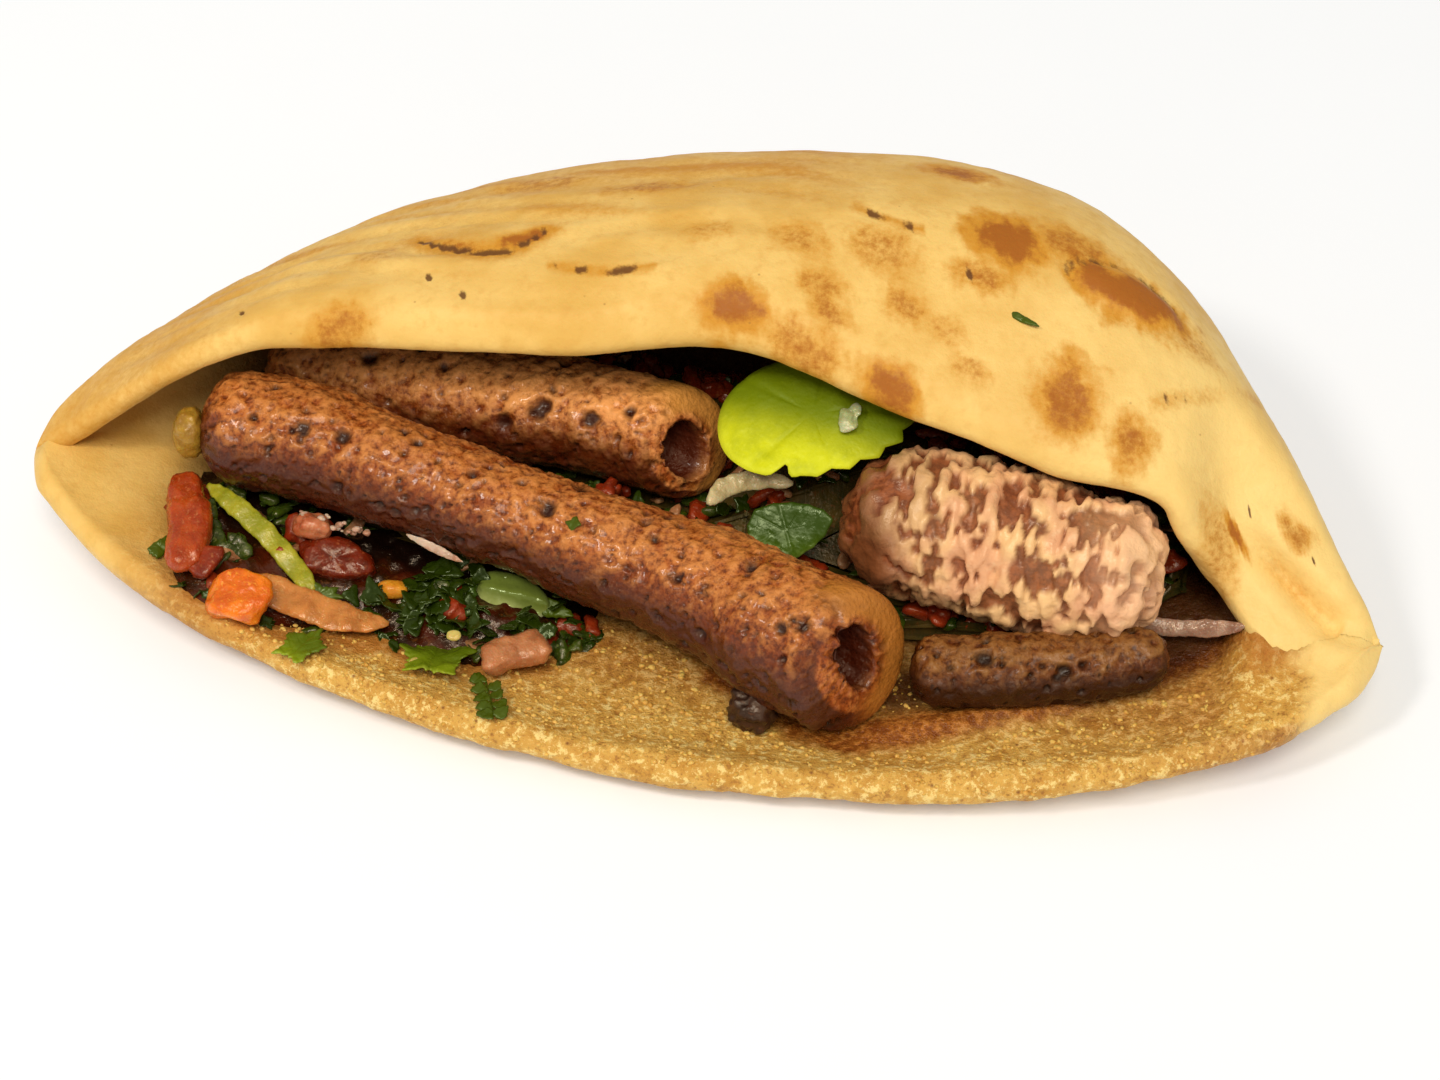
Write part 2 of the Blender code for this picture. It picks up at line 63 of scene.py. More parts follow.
# name, y, z, fullest place along the length (-1 to 1), roundness left and right, sharpness left and right
RAILS = (
    ("rim", -49.0, 4.0, 0.05, 1.9, 1.9, 0.6, 0.5),
    ("belly", -33.5, -0.6, 0.05, 1.9, 2.2, 0.68, 0.6),
    ("sole", 4.0, -0.6, 0.1, 1.8, 2.4, 0.7, 0.8),
    ("heel", 37.0, -0.6, 0.2, 1.8, 2.6, 0.75, 1.4),
    ("back", 65.0, 24.0, 0.25, 2.1, 2.7, 0.75, 1.3),
    ("shoulder", 58.5, 50.0, 0.25, 2.1, 2.7, 0.75, 1.3),
    ("crown", 30.5, 61.0, 0.22, 2.0, 2.9, 0.7, 1.3),
)
# The flap's free edge: place along the length, then y and z.
LIP = (
    (-1.0, -5.0, 15.0), (-0.9, -6.0, 24.0), (-0.75, -7.0, 36.0), (-0.6, -4.0, 43.0),
    (-0.2, -3.0, 48.0), (0.05, 3.0, 50.0), (0.3, -1.5, 44.0), (0.5, -4.0, 39.0),
    (0.68, -3.0, 34.0), (0.76, -3.0, 20.0), (0.86, -11.0, 9.0), (1.0, -4.0, 13.0),
)
BROW_BACK, BROW_UP = 7.0, 8.0


# ---- numbers


def smoothstep(low, high, x):
    f = np.clip((np.asarray(x, float) - low) / (high - low), 0.0, 1.0)
    return f * f * (3 - 2 * f)


def bell(x, middle, half):
    """1 at the middle, falling away over about this half width."""
    return np.exp(-(((np.asarray(x, float) - middle) / half) ** 2))


def hashed(cells, seed):
    """A number from 0 to 1 for each whole-number cell."""
    wave = np.sin(cells @ np.array([12.9898, 78.233, 37.719]) + seed * 4.137) * 43758.5453
    return wave - np.floor(wave)


def noise(points, size, seed=0):
    """Smooth noise from about -1 to 1 whose lumps are this many millimetres across."""
    place = np.asarray(points, float) / size
    cell = np.floor(place)
    f = place - cell
    ease = f**3 * (f * (6 * f - 15) + 10)
    total = np.zeros(len(place))
    for corner in itertools.product((0.0, 1.0), repeat=3):
        at = cell + corner
        turn = 2 * np.pi * hashed(at, seed)
        lift = 2 * hashed(at, seed + 17) - 1
        flat = np.sqrt(1 - lift**2)
        away = f - corner
        slope = away[:, 0] * flat * np.cos(turn) + away[:, 1] * flat * np.sin(turn) + away[:, 2] * lift
        total += slope * np.prod(np.where(corner, ease, 1 - ease), axis=1)
    return 1.6 * total


def fractal(points, size, seed=0, octaves=3):
    return sum(noise(points, size / 2**k, seed + k) / 2**k for k in range(octaves))


def nearest_two(points, size, seed=0):
    """Distance in cells to the nearest and the second nearest of points scattered one to a cell."""
    place = np.asarray(points, float) / size
    cell = np.floor(place)
    best = np.full((2, len(place)), 9.0)
    for step in itertools.product((-1.0, 0.0, 1.0), repeat=3):
        at = cell + step
        there = at + np.stack([hashed(at, seed + k) for k in range(3)], axis=1)
        away = np.linalg.norm(place - there, axis=1)
        best[1] = np.minimum(best[1], np.maximum(best[0], away))
        best[0] = np.minimum(best[0], away)
    return best


def curve(points, places):
    """A Catmull-Rom curve through the points, read at places from 0 to 1."""
    points = np.asarray(points, float)
    ends = np.vstack([2 * points[0] - points[1], points, 2 * points[-1] - points[-2]])
    run = np.clip(np.asarray(places, float), 0, 1) * (len(points) - 1)
    i = np.minimum(run.astype(int), len(points) - 2)
    f = (run - i)[:, None]
    a, b, c, d = ends[i], ends[i + 1], ends[i + 2], ends[i + 3]
    return 0.5 * (2 * b + (c - a) * f + (2 * a - 5 * b + 4 * c - d) * f**2 + (3 * b - a - 3 * c + d) * f**3)


def arc_lengths(line):
    return np.concatenate([[0.0], np.cumsum(np.linalg.norm(np.diff(line, axis=0), axis=1))])


def read_along(line, reach):
    """Points of the polyline at these distances along it."""
    lengths = arc_lengths(line)
    return np.stack([np.interp(reach, lengths, line[:, k]) for k in range(line.shape[1])], axis=1)


def unit(vectors):
    vectors = np.asarray(vectors, float)
    return vectors / np.maximum(np.linalg.norm(vectors, axis=-1, keepdims=True), 1e-9)


def softened(grid, along, around):
    """A box blur of a grid of values, repeated along and around it."""
    for axis, times in ((0, along), (1, around)):
        for _ in range(times):
            padded = np.pad(grid, [(1, 1) if a == axis else (0, 0) for a in (0, 1)], mode="edge")
            count = grid.shape[axis]
            grid = (padded.take(range(count), axis) + grid + padded.take(range(2, count + 2), axis)) / 3
    return grid


# ---- the bread's shape

STATIONS = 300
OUTER_ROWS, EDGE_ROWS, INNER_ROWS = 136, 9, 116
EDGE_CUT = 2.4
PINCH = 0.46
TIP_REACH, TIP_ROUNDING = 0.999, 0.035


def swell(t, peak, round_left, round_right, sharp_left, sharp_right):
    """How far a rail has left the corners at t: 0 at both ends and 1 at its peak."""
    if t < peak:
        return max(0.0, 1 - ((peak - t) / (1 + peak)) ** round_left) ** sharp_left
    return max(0.0, 1 - ((t - peak) / (1 - peak)) ** round_right) ** sharp_right


def lip_at(t):
    """A smooth curve through the rows of the lip, read at t."""
    rows = np.asarray(LIP, float)
    i = max(0, min(len(rows) - 2, int(np.searchsorted(rows[:, 0], t)) - 1))

    def slope(j):
        a, b = max(0, j - 1), min(len(rows) - 1, j + 1)
        return (rows[b, 1:] - rows[a, 1:]) / (rows[b, 0] - rows[a, 0])

    h = rows[i + 1, 0] - rows[i, 0]
    f = (t - rows[i, 0]) / h
    return ((2 * f**3 - 3 * f**2 + 1) * rows[i, 1:] + (f**3 - 2 * f**2 + f) * h * slope(i)
            + (3 * f**2 - 2 * f**3) * rows[i + 1, 1:] + (f**3 - f**2) * h * slope(i + 1))


def outer_line(t, steps=420):
    """The outer skin across the bread at t as (y, z), from the front rim under and over to the lip."""
    corner = np.array(CORNER_LEFT) * (1 - t) / 2 + np.array(CORNER_RIGHT) * (1 + t) / 2
    rails = [corner + (np.array([y, z]) - corner) * swell(t, *shape) for _, y, z, *shape in RAILS]
    lip = lip_at(t)
    brow = lip + np.array([BROW_BACK, BROW_UP]) * swell(t, 0.1, 2.0, 2.0, 0.7, 0.7)
    return curve(rails + [brow, lip], np.linspace(0, 1, steps))


def room_across(line):
    """From each point of a section, how far the opposite wall is along the inward normal."""
    run = unit(np.gradient(line, axis=0))
    inward = np.stack([-run[:, 1], run[:, 0]], axis=1)
    start, edge = line[:-1], np.diff(line, axis=0)
    gap = start[None] - line[:, None]
    turn = inward[:, None, 0] * edge[None, :, 1] - inward[:, None, 1] * edge[None, :, 0]
    turn = np.where(np.abs(turn) < 1e-9, 1e-9, turn)
    reach = (gap[..., 0] * edge[None, :, 1] - gap[..., 1] * edge[None, :, 0]) / turn
    share = (gap[..., 0] * inward[:, None, 1] - gap[..., 1] * inward[:, None, 0]) / turn
    hit = (reach > 0.3) & (share >= 0) & (share <= 1)
    return np.where(hit, reach, 99.0).min(axis=1)


def bread_skin():
    """Grids over the outer skin: points, the unit vector into the bread, and arc length from the lip."""
    places = np.sin(np.pi / 2 * np.linspace(-1, 1, STATIONS)) * 0.6 + np.linspace(-1, 1, STATIONS) * 0.4
    points, room, from_lip = [], [], []
    for t in places * TIP_REACH:
        line = outer_line(t)
        total = arc_lengths(line)[-1]
        cut = min(EDGE_CUT, 0.06 * total)
        reach = np.linspace(cut, total - cut, OUTER_ROWS)
        line = read_along(line, reach)
        points.append(np.column_stack([np.full(OUTER_ROWS, HALF_LENGTH * t), line]))
        room.append(room_across(line))
        from_lip.append(total - reach)
    points = np.array(points)
    inward = unit(np.cross(np.gradient(points, axis=0), np.gradient(points, axis=1)))
    flat = np.linalg.norm(inward[..., 1:], axis=2)
    thickness = np.minimum(BREAD_THICKNESS, PINCH * np.array(room) / np.maximum(flat, 0.2))
    return points, inward, softened(thickness, 6, 4), np.array(from_lip)


# ---- meshes


def in_frame(points):
    return (np.asarray(points, float) - (0.0, ORIGIN_Y, 0.0)) * MM


def tube_faces(rings, sides, first=0):
    """Quads of a tube of closed rings."""
    i, k = np.meshgrid(np.arange(rings - 1), np.arange(sides), indexing="ij")
    a, b = first + i * sides + k, first + i * sides + (k + 1) % sides
    return np.stack([a, b, b + sides, a + sides], axis=-1).reshape(-1, 4)


def closed_tube(grid):
    """Points and faces of a closed body through a grid of rings, with a fan over each end."""
    rings, sides = grid.shape[:2]
    points = np.vstack([grid.reshape(-1, 3), grid[0].mean(axis=0), grid[-1].mean(axis=0)])
    faces = tube_faces(rings, sides).tolist()
    last = (rings - 1) * sides
    for k in range(sides):
        faces.append([rings * sides, (k + 1) % sides, k])
        faces.append([rings * sides + 1, last + k, last + (k + 1) % sides])
    return points, faces


def extended(values):
    """A grid's values with one more for each of the two points that close its tube."""
    values = np.asarray(values, float).ravel()
    return np.concatenate([values, values[:1], values[-1:]])


def joined(bodies):
    """Several bodies' points and faces as one mesh's."""
    points, faces, first = [], [], 0
    for some_points, some_faces in bodies:
        points.append(some_points)
        faces += [[first + k for k in face] for face in some_faces]
        first += len(some_points)
    return np.vstack(points), faces


def tube_normals(grid):
    """Outward unit normals of a grid of closed rings."""
    wrapped = np.concatenate([grid[:, -1:], grid, grid[:, :1]], axis=1)
    around = (wrapped[:, 2:] - wrapped[:, :-2]) / 2
    along = np.gradient(grid, axis=0)
    normals = unit(np.cross(around, along))
    middle = len(grid) // 2
    outward = grid[middle] - grid[middle].mean(axis=0)
    return normals if (normals[middle] * outward).sum() > 0 else -normals


def linked(name, data):
    """A new object in the scene over this mesh, light or camera."""
    made = bpy.data.objects.new(name, data)
    bpy.context.scene.collection.objects.link(made)
    return made


def piece(name, points, faces, slot, nodes, paint, **values):
    """A smooth mesh piece that rides on the body.

    Each of the values is one number for all points, one for each point, or one for each point of a
    closed_tube's grid.
    """
    mesh = bpy.data.meshes.new(name)
    mesh.from_pydata(in_frame(points).tolist(), [], faces if isinstance(faces, list) else faces.tolist())
    mesh.update()
    made = linked(name, mesh)
    mesh.calc_loop_triangles()
    corners = np.array([t.vertices for t in mesh.loop_triangles])
    places = in_frame(points)
    a, b, c = (places[corners[:, k]] for k in range(3))
    if (a * np.cross(b, c)).sum() < 0:
        mesh.flip_normals()
    mesh.shade_smooth()
    for key, numbers in values.items():
        numbers = np.full(len(points), numbers) if np.isscalar(numbers) else numbers
        numbers = numbers if len(numbers) == len(points) else extended(numbers)
        mesh.attributes.new(key, "FLOAT", "POINT").data.foreach_set("value", np.asarray(numbers, np.float32))
    mesh.materials.append(paint.material)
    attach(made, BODY)
    if nodes:
        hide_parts(*nodes)
    return made


# ---- materials


class Paint:
    """A procedural material, built up node by node over the Principled shader."""

    def __init__(self, name, **inputs):
        self.material = bpy.data.materials.new(name)
        self.material.use_nodes = True
        self.tree = self.material.node_tree
        self.shader = self.tree.nodes["Principled BSDF"]
        for key, value in inputs.items():
            self.shader.inputs[key.replace("_", " ")].default_value = value
        self.place = self.tree.nodes.new("ShaderNodeTexCoord").outputs["Object"]

    def node(self, kind, feeds, **settings):
        made = self.tree.nodes.new(kind)
        for key, value in settings.items():
            setattr(made, key, value)
        for key, value in feeds.items():
            if isinstance(value, bpy.types.NodeSocket):
                self.tree.links.new(value, made.inputs[key])
            else:
                made.inputs[key].default_value = value
        return made

    def value(self, name):
        """The number that the mesh carries under this name."""
        return self.node("ShaderNodeAttribute", {}, attribute_name=name).outputs["Fac"]

    def noise(self, size, detail=2.0, rough=0.5, stretch=None):
        """Noise from 0 to 1 whose lumps are about this many millimetres across."""
        place = self.place
        if stretch:
            place = self.node("ShaderNodeMapping", {"Vector": self.place, "Scale": stretch}).outputs["Vector"]
        feeds = {"Vector": place, "Scale": 1 / (size * MM), "Detail": detail, "Roughness": rough}
        return self.node("ShaderNodeTexNoise", feeds).outputs["Fac"]

    def cells(self, size):
        """Distance to the nearest of points scattered about this many millimetres apart."""
        feeds = {"Vector": self.place, "Scale": 1 / (size * MM)}
        return self.node("ShaderNodeTexVoronoi", feeds).outputs["Distance"]

    def sum(self, a, b, operation="ADD"):
        return self.node("ShaderNodeMath", {0: a, 1: b}, operation=operation, use_clamp=False).outputs[0]

    def times(self, a, b):
        return self.sum(a, b, "MULTIPLY")

    def step(self, value, low, high, bottom=0.0, top=1.0):
        """Goes smoothly from bottom to top as the value goes from low to high."""
        feeds = {"Value": value, "From Min": low, "From Max": high, "To Min": bottom, "To Max": top}
        return self.node("ShaderNodeMapRange", feeds, interpolation_type="SMOOTHSTEP").outputs[0]

    def mix(self, share, a, b, blend="MIX"):
        """Colour a where the share is 0 and b where it is 1."""
        made = self.node("ShaderNodeMix", {0: share}, data_type="RGBA", blend_type=blend)
        for socket, color in ((made.inputs[6], a), (made.inputs[7], b)):
            if isinstance(color, bpy.types.NodeSocket):
                self.tree.links.new(color, socket)
            else:
                socket.default_value = (*color, 1.0)
        return made.outputs[2]

    def over(self, share, color, most=1.0):
        """Lays a colour over what is there so far, as far as the share times the most."""
        self.base = self.mix(share if most == 1.0 else self.times(share, most), self.base, color)

    def marked(self, name, color, most=1.0):
        """Lays a colour over where the mesh carries this value."""
        self.over(self.value(name), color, most)

    def color(self, socket):
        """The surface's colour."""
        self.tree.links.new(socket, self.shader.inputs["Base Color"])

    def roughness(self, socket):
        self.tree.links.new(socket, self.shader.inputs["Roughness"])

    def bump(self, *layers):
        """Fine relief: each layer is a height from 0 to 1 and its depth in millimetres."""
        normal = None
        for height, depth in layers:
            feeds = {"Height": height, "Distance": depth * MM, "Strength": 1.0}
            if normal is not None:
                feeds["Normal"] = normal
            normal = self.node("ShaderNodeBump", feeds).outputs["Normal"]
        self.tree.links.new(normal, self.shader.inputs["Normal"])


# ---- bread

# Browned places on the flap, and one patch of painted shade: place along the length, distance from the lip,
# half sizes, strength, tilt.
BLISTER = (65, 34, 9.0, 4.6, 0.85, -0.25)
BROWNED = (
    (45, 37, 6.0, 4.6, 0.85, 0.1), (55, 40, 7.0, 4.5, 0.42, -0.3), (5, 7, 4.8, 3.6, 0.72, 0.0),
    (34, 54, 6.0, 3.0, 0.55, 0.1), (13, 22, 5.0, 3.2, 0.30, 0.0), (18, 15, 4.0, 2.6, 0.36, 0.1),
    (20, 11, 3.4, 2.4, 0.40, 0.0), (26, 26, 5.5, 4.2, 0.32, 0.2), (31, 18, 3.6, 2.6, 0.38, 0.0),
    (42, 28, 4.4, 2.8, 0.42, -0.1), (38, 17, 3.2, 2.4, 0.26, 0.0), (31, 4, 4.2, 3.6, 0.70, 0.1),
    (17, 4, 6.0, 3.6, 0.40, 0.0), (43, 12, 3.2, 2.2, 0.28, 0.0), (58, 13, 4.6, 6.2, 0.56, 0.0),
    (69, 8, 3.0, 4.4, 0.48, 0.0), (-57, 4, 4.6, 3.4, 0.42, 0.0), (-55, 21, 4.0, 3.2, 0.22, 0.0),
    (-15, 38, 7.0, 3.0, 0.34, 0.0), (-33, 44, 9.0, 4.0, 0.30, 0.1), (-31, 24, 4.6, 1.7, 0.80, 0.45),
    (-42, 22, 6.5, 1.6, 0.42, -0.15), (96, 23, 2.6, 2.2, 0.40, 0.0), (86, 10, 2.2, 1.0, 0.80, 0.2),
    # The first place below, at 84 along and 5 from the lip, is painted shade on the wall under the right
    # fold, not browning.
    (84, 5, 3.4, 5.0, 0.26, 0.0), (76, 30, 4.0, 3.0, 0.24, 0.0), (-2, 22, 4.0, 2.2, 0.26, 0.0),
)
# Small dark flecks: place along, distance from the lip, radius.
FLECKS = (
    (-45, 14, 0.45), (-38, 11, 0.5), (99, 20, 0.4), (40, 27, 0.55), (88, 16, 0.4), (-75, 9, 0.35),
)
# Thin cracks in the crust: places along and from the lip, then half width.
CRACKS = (
    (((-50, 25.5), (-45, 22.5), (-38, 20.5), (-32, 21.5), (-28.5, 25.5)), 0.9),
    (((-25, 17), (-17, 15), (-9, 14)), 0.4),
    (((20, 33), (26, 32), (31, 33)), 0.4),
)
# A broken row of dark specks over the right shoulder, as points in space, and its half width.
SPECK_ROW = ((72, 9, 46), (78, 14, 44), (83, 19, 41), (88, 23, 38))
SPECK_HALF = 0.9
# The crease that folds the right end in, and the swelling under it, as points in space.
CREASE = ((82, -2, 32), (88, 0.5, 27.5), (95, -0.5, 22), (101, -3, 18), (105, -4, 15.5))
SWELLING = ((81, -4, 29), (87, -4, 21), (93, -5, 16), (100, -7, 13))
# Where meat juice has soaked the crumb, and where sauce has stained it: x, y and half width on the ledge.
SOAKED = (
    (8, -22, 3.0), (20, -29, 4.0), (30, -33, 4.6), (38, -30.5, 5.2), (46, -27, 4.8), (54, -23.8, 4.6),
    (62, -20.2, 4.2), (70, -16.2, 3.6), (80, -10.8, 3.0), (88, -4.6, 2.6),
)
STAINED = (
    (-80, -27, 3.5), (-70, -29, 5.0), (-58, -31, 4.5), (-46, -29, 4.0), (-33, -29, 4.5), (-20, -25, 3.5),
)
# The slit ends over these places along the length. Beyond them the flap's last stretch, this many
# millimetres, runs on into the ledge. The two meet at this share of the way, and the skin sets out and
# arrives this stiffly.
SHUT_OVER = (86.5, 93.5)
SHUT_FLAP, SHUT_SEAM = 9.0, 0.26
SHUT_LEAVE, SHUT_ARRIVE = 0.55, 0.7
SHUT_TUCK = 8
# Where juice has browned the crumb at the foot of the right fold, and where the crumb in the left corner is
# painted dark as painted shade of the pocket.
CUP = (94.4, -6.6, 12.6)
LEFT_CUP = (-86.5, -6.5, 20.0)
# Painted shade: the crumb behind the right kofta is painted dark here.
BEHIND_RIGHT_KOFTA = (38.0, -21.0)
# Behind this line the right part of the ledge is painted dark as painted shade of the pocket: x, then y.
DARK_BORDER = ((60, -22.0), (72, -16.0), (82.3, -9.6), (88, -4.6), (91, -2.0))
# The torn crumb of the ledge ends here on the right: y, then x.
CRUMB_END = ((-34, 100), (-24, 101), (-13, 100), (-7, 98.5), (-2, 92))
# A low fold of soaked crumb in front of the right kofta, and how it is shaped.
JUICY_FOLD = ((33, -32.5), (40, -29.5), (46, -27.5), (54, -25.0), (62, -21.5), (70, -17.5), (78, -12.5))
FOLD_HEIGHT, FOLD_HALF = 1.6, 2.3


def near_line(points, line):
    """Distance from each point to a polyline, and how far along it the nearest place is, 0 to 1."""
    line = np.asarray(line, float)
    best, share = np.full(len(points), 1e9), np.zeros(len(points))
    for i in range(len(line) - 1):
        run = line[i + 1] - line[i]
        f = np.clip((points - line[i]) @ run / (run @ run), 0, 1)
        away = np.linalg.norm(points - line[i] - f[:, None] * run, axis=1)
        nearer = away < best
        best = np.where(nearer, away, best)
        share = np.where(nearer, (i + f) / (len(line) - 1), share)
    return best, share


def smooth_line(points, steps=30):
    return curve(points, np.linspace(0, 1, steps))


def in_spot(x, w, spot, ragged):
    """1 inside a browned place, 0 outside it, with a ragged edge."""
    middle, back, half_x, half_w, strength, tilt = spot
    u, v = x - middle, w - back
    u, v = u * math.cos(tilt) + v * math.sin(tilt), v * math.cos(tilt) - u * math.sin(tilt)
    reach = np.sqrt((u / half_x) ** 2 + (v / half_w) ** 2) + ragged
    return strength * (1 - smoothstep(0.35, 1.30, reach)), reach


def shut_right_end(grid, from_lip):
    """Draws the flap's edge and the ledge together into one smooth skin, where the bread's slit ends.

    Also gives how far each point of the ledge has become such skin, and the rows that lie folded on each
    other at the seam.
    """
    first_inner = OUTER_ROWS + EDGE_ROWS
    last_inner = first_inner + INNER_ROWS - 1
    shut = smoothstep(*SHUT_OVER, grid[:, 0, 0])
    became, folded = np.zeros(grid.shape[:2]), []
    for i in np.flatnonzero(shut > 0):
        ring, drawn = grid[i], grid[i].copy()
        start = int(np.argmax(from_lip[i] < min(SHUT_FLAP, 0.2 * from_lip[i].max())))
        flap = np.arange(start, OUTER_ROWS)
        lip = ring[OUTER_ROWS - 1]
        ledge = last_inner - int(np.argmax(ring[last_inner:first_inner:-1, 1] > lip[1] + 1.0)) + 1
        ledge = np.arange(min(ledge, last_inner - 3), last_inner + 1)
        reach = np.linalg.norm(ring[last_inner] - ring[start])
        leave = unit(ring[start] - ring[start - 2]) * reach * SHUT_LEAVE
        arrive = unit(ring[last_inner + 2] - ring[last_inner - 1]) * reach * SHUT_ARRIVE
        s = [np.linspace(0, SHUT_SEAM, len(flap)), np.linspace(SHUT_SEAM, 1, len(ledge))]
        s = np.concatenate(s)[:, None]
        skin = ((2 * s**3 - 3 * s**2 + 1) * ring[start] + (s**3 - 2 * s**2 + s) * leave
                + (3 * s**2 - 2 * s**3) * ring[last_inner] + (s**3 - s**2) * arrive)
        drawn[flap], drawn[ledge] = skin[:len(flap)], skin[len(flap):]
        moved = drawn[OUTER_ROWS - 1] - lip
        tucked = np.arange(OUTER_ROWS, first_inner + SHUT_TUCK)
        drawn[tucked] += moved * np.clip(1 - (tucked - first_inner + 1) / SHUT_TUCK, 0, 1)[:, None]
        drawn[OUTER_ROWS] = drawn[ledge[0] - 1] = drawn[OUTER_ROWS - 1]
        grid[i] = ring * (1 - shut[i]) + drawn * shut[i]
        became[i, ledge] = became[i, ledge[0] - 1] = shut[i]
        if shut[i] == 1:
            folded.append((i, ledge[0]))
    return grid, became, folded


def bread_rings():
    """The bread as closed rings through outer skin, lip, inner skin and rim.

    Also gives how much each point is crumb, its distance from the lip, how torn the crumb is, and the
    folded rows.
    """
    outer, inward, thickness, from_lip = bread_skin()
    inner = outer + inward * thickness[..., None]
    rows = np.linspace(OUTER_ROWS - 1, 0, INNER_ROWS)
    low = np.floor(rows).astype(int).clip(0, OUTER_ROWS - 2)
    share = (rows - low)[None, :, None]
    inner = inner[:, low] * (1 - share) + inner[:, low + 1] * share

    def edge(start, end, outward):
        turns = np.pi * np.arange(1, EDGE_ROWS + 1) / (EDGE_ROWS + 1)
        half = (start - end) / 2
        reach = np.minimum(np.linalg.norm(half, axis=1), EDGE_CUT)[:, None]
        outward = unit(outward - (outward * unit(half)).sum(axis=1, keepdims=True) * unit(half)) * reach
        return np.stack([end + half + half * math.cos(a) + outward * math.sin(a) for a in turns], axis=1)

    lip_edge = edge(outer[:, -1], inner[:, 0], outer[:, -1] - outer[:, -3])
    rim_edge = edge(inner[:, -1], outer[:, 0], outer[:, 0] - outer[:, 2])
    grid = np.concatenate([outer, lip_edge, inner, rim_edge], axis=1)
    grid, became, folded = shut_right_end(grid, from_lip)
    across = (np.abs(grid[:, 0, 0]) / (HALF_LENGTH * TIP_REACH) - 1 + TIP_ROUNDING) / TIP_ROUNDING
    across = np.clip(across, 0, 0.995)
    middle = grid.mean(axis=1, keepdims=True)
    grid = middle + (grid - middle) * np.sqrt(1 - across**2)[:, None, None]
    turn = np.linspace(0, 1, EDGE_ROWS)
    under_rim = 1 - smoothstep(0, 9, np.arange(OUTER_ROWS))
    crumb = np.concatenate([under_rim, smoothstep(0.35, 1.0, turn), np.ones(INNER_ROWS), np.ones(EDGE_ROWS)])
    far = float(from_lip.max())
    lip_w = np.repeat(from_lip[:, -1:], EDGE_ROWS, axis=1) * (1 - turn)
    rim_w = np.full((STATIONS, EDGE_ROWS), far)
    w = np.concatenate([from_lip, lip_w, np.full((STATIONS, INNER_ROWS), far), rim_w], axis=1)
    return grid, crumb * (1 - became), w * (1 - became), np.broadcast_to(crumb, w.shape), folded


def crust_marks(p, w, crumb):
    """Browning, golden halo and dark flecks of the crust at each point."""
    x, z = p[:, 0], p[:, 2]
    flat = np.column_stack([x, w, np.zeros(len(x))])
    skin = 1 - smoothstep(0.3, 0.8, crumb)
    ragged = 0.34 * noise(flat, 4.0, 3) + 0.30 * noise(flat, 2.0, 4) + 0.16 * noise(flat, 1.1, 5)
    brown, golden, dark = np.zeros((3, len(x)))
    # Each place browns the crust with a golden halo; one of them is painted shade under the right fold.
    for spot in BROWNED + (BLISTER,):
        inside, reach = in_spot(x, w, spot, ragged)
        brown = np.maximum(brown, inside)
        halo = min(1.0, 1.1 * spot[4] + 0.2)
        golden = np.maximum(golden, halo * (1 - smoothstep(0.7, 1.9, reach)))
    for middle, back, radius in FLECKS:
        centre = p[np.argmin(np.hypot(x - middle, w - back))]
        away = np.linalg.norm(p - centre, axis=1) / radius
        dark = np.maximum(dark, 1 - smoothstep(0.5, 1.5, away + 1.6 * ragged))
    for line, half in CRACKS:
        away, share = near_line(np.column_stack([x, w]), smooth_line(line))
        ends = np.sin(np.pi * np.clip(share, 0.02, 0.98)) ** 0.4
        dark = np.maximum(dark, 0.8 * (1 - smoothstep(0.3, 1.3, away / (half * ends) + ragged)))
        golden = np.maximum(golden, 0.75 * (1 - smoothstep(0.5, 5.0, away / half)))
    away, _ = near_line(p, smooth_line(SPECK_ROW))
    broken = smoothstep(-0.05, 0.25, noise(p, 2.4, 33))
    dark = np.maximum(dark, 0.85 * broken * (1 - smoothstep(0.4, 1.3, away / SPECK_HALF + 1.5 * ragged)))
    golden = np.maximum(golden, 0.5 * (1 - smoothstep(0.5, 3.5, away / SPECK_HALF)))
    # The back and underside, baked on the hot floor of the oven, carry larger scattered scorch marks.
    behind = smoothstep(55, 75, w)
    scorch = smoothstep(0.18, 0.62, fractal(p, 17, 11, 3))
    tanned = smoothstep(20, 48, w + 7 * noise(p * (0.25, 1, 1), 9, 12)) * smoothstep(40, 5, x)
    streaks = smoothstep(0.0, 0.7, noise(np.column_stack([x / 7, w + 0.06 * x, z / 7]), 3.1, 13))
    streaks *= smoothstep(34, -10, x) * smoothstep(7, 20, w)
    golden = np.maximum(golden, 0.36 * tanned + 0.46 * streaks)
    # Painted shade: a darker tan over the left end, toning down the fill light that falls there.
    golden = np.maximum(golden, 0.46 * smoothstep(-58, -90, x))
    brown = np.maximum(brown, behind * 0.7 * scorch)
    golden = np.maximum(golden, behind * smoothstep(-0.05, 0.5, fractal(p, 17, 11, 3)))
    return brown * skin, golden * skin, dark * skin


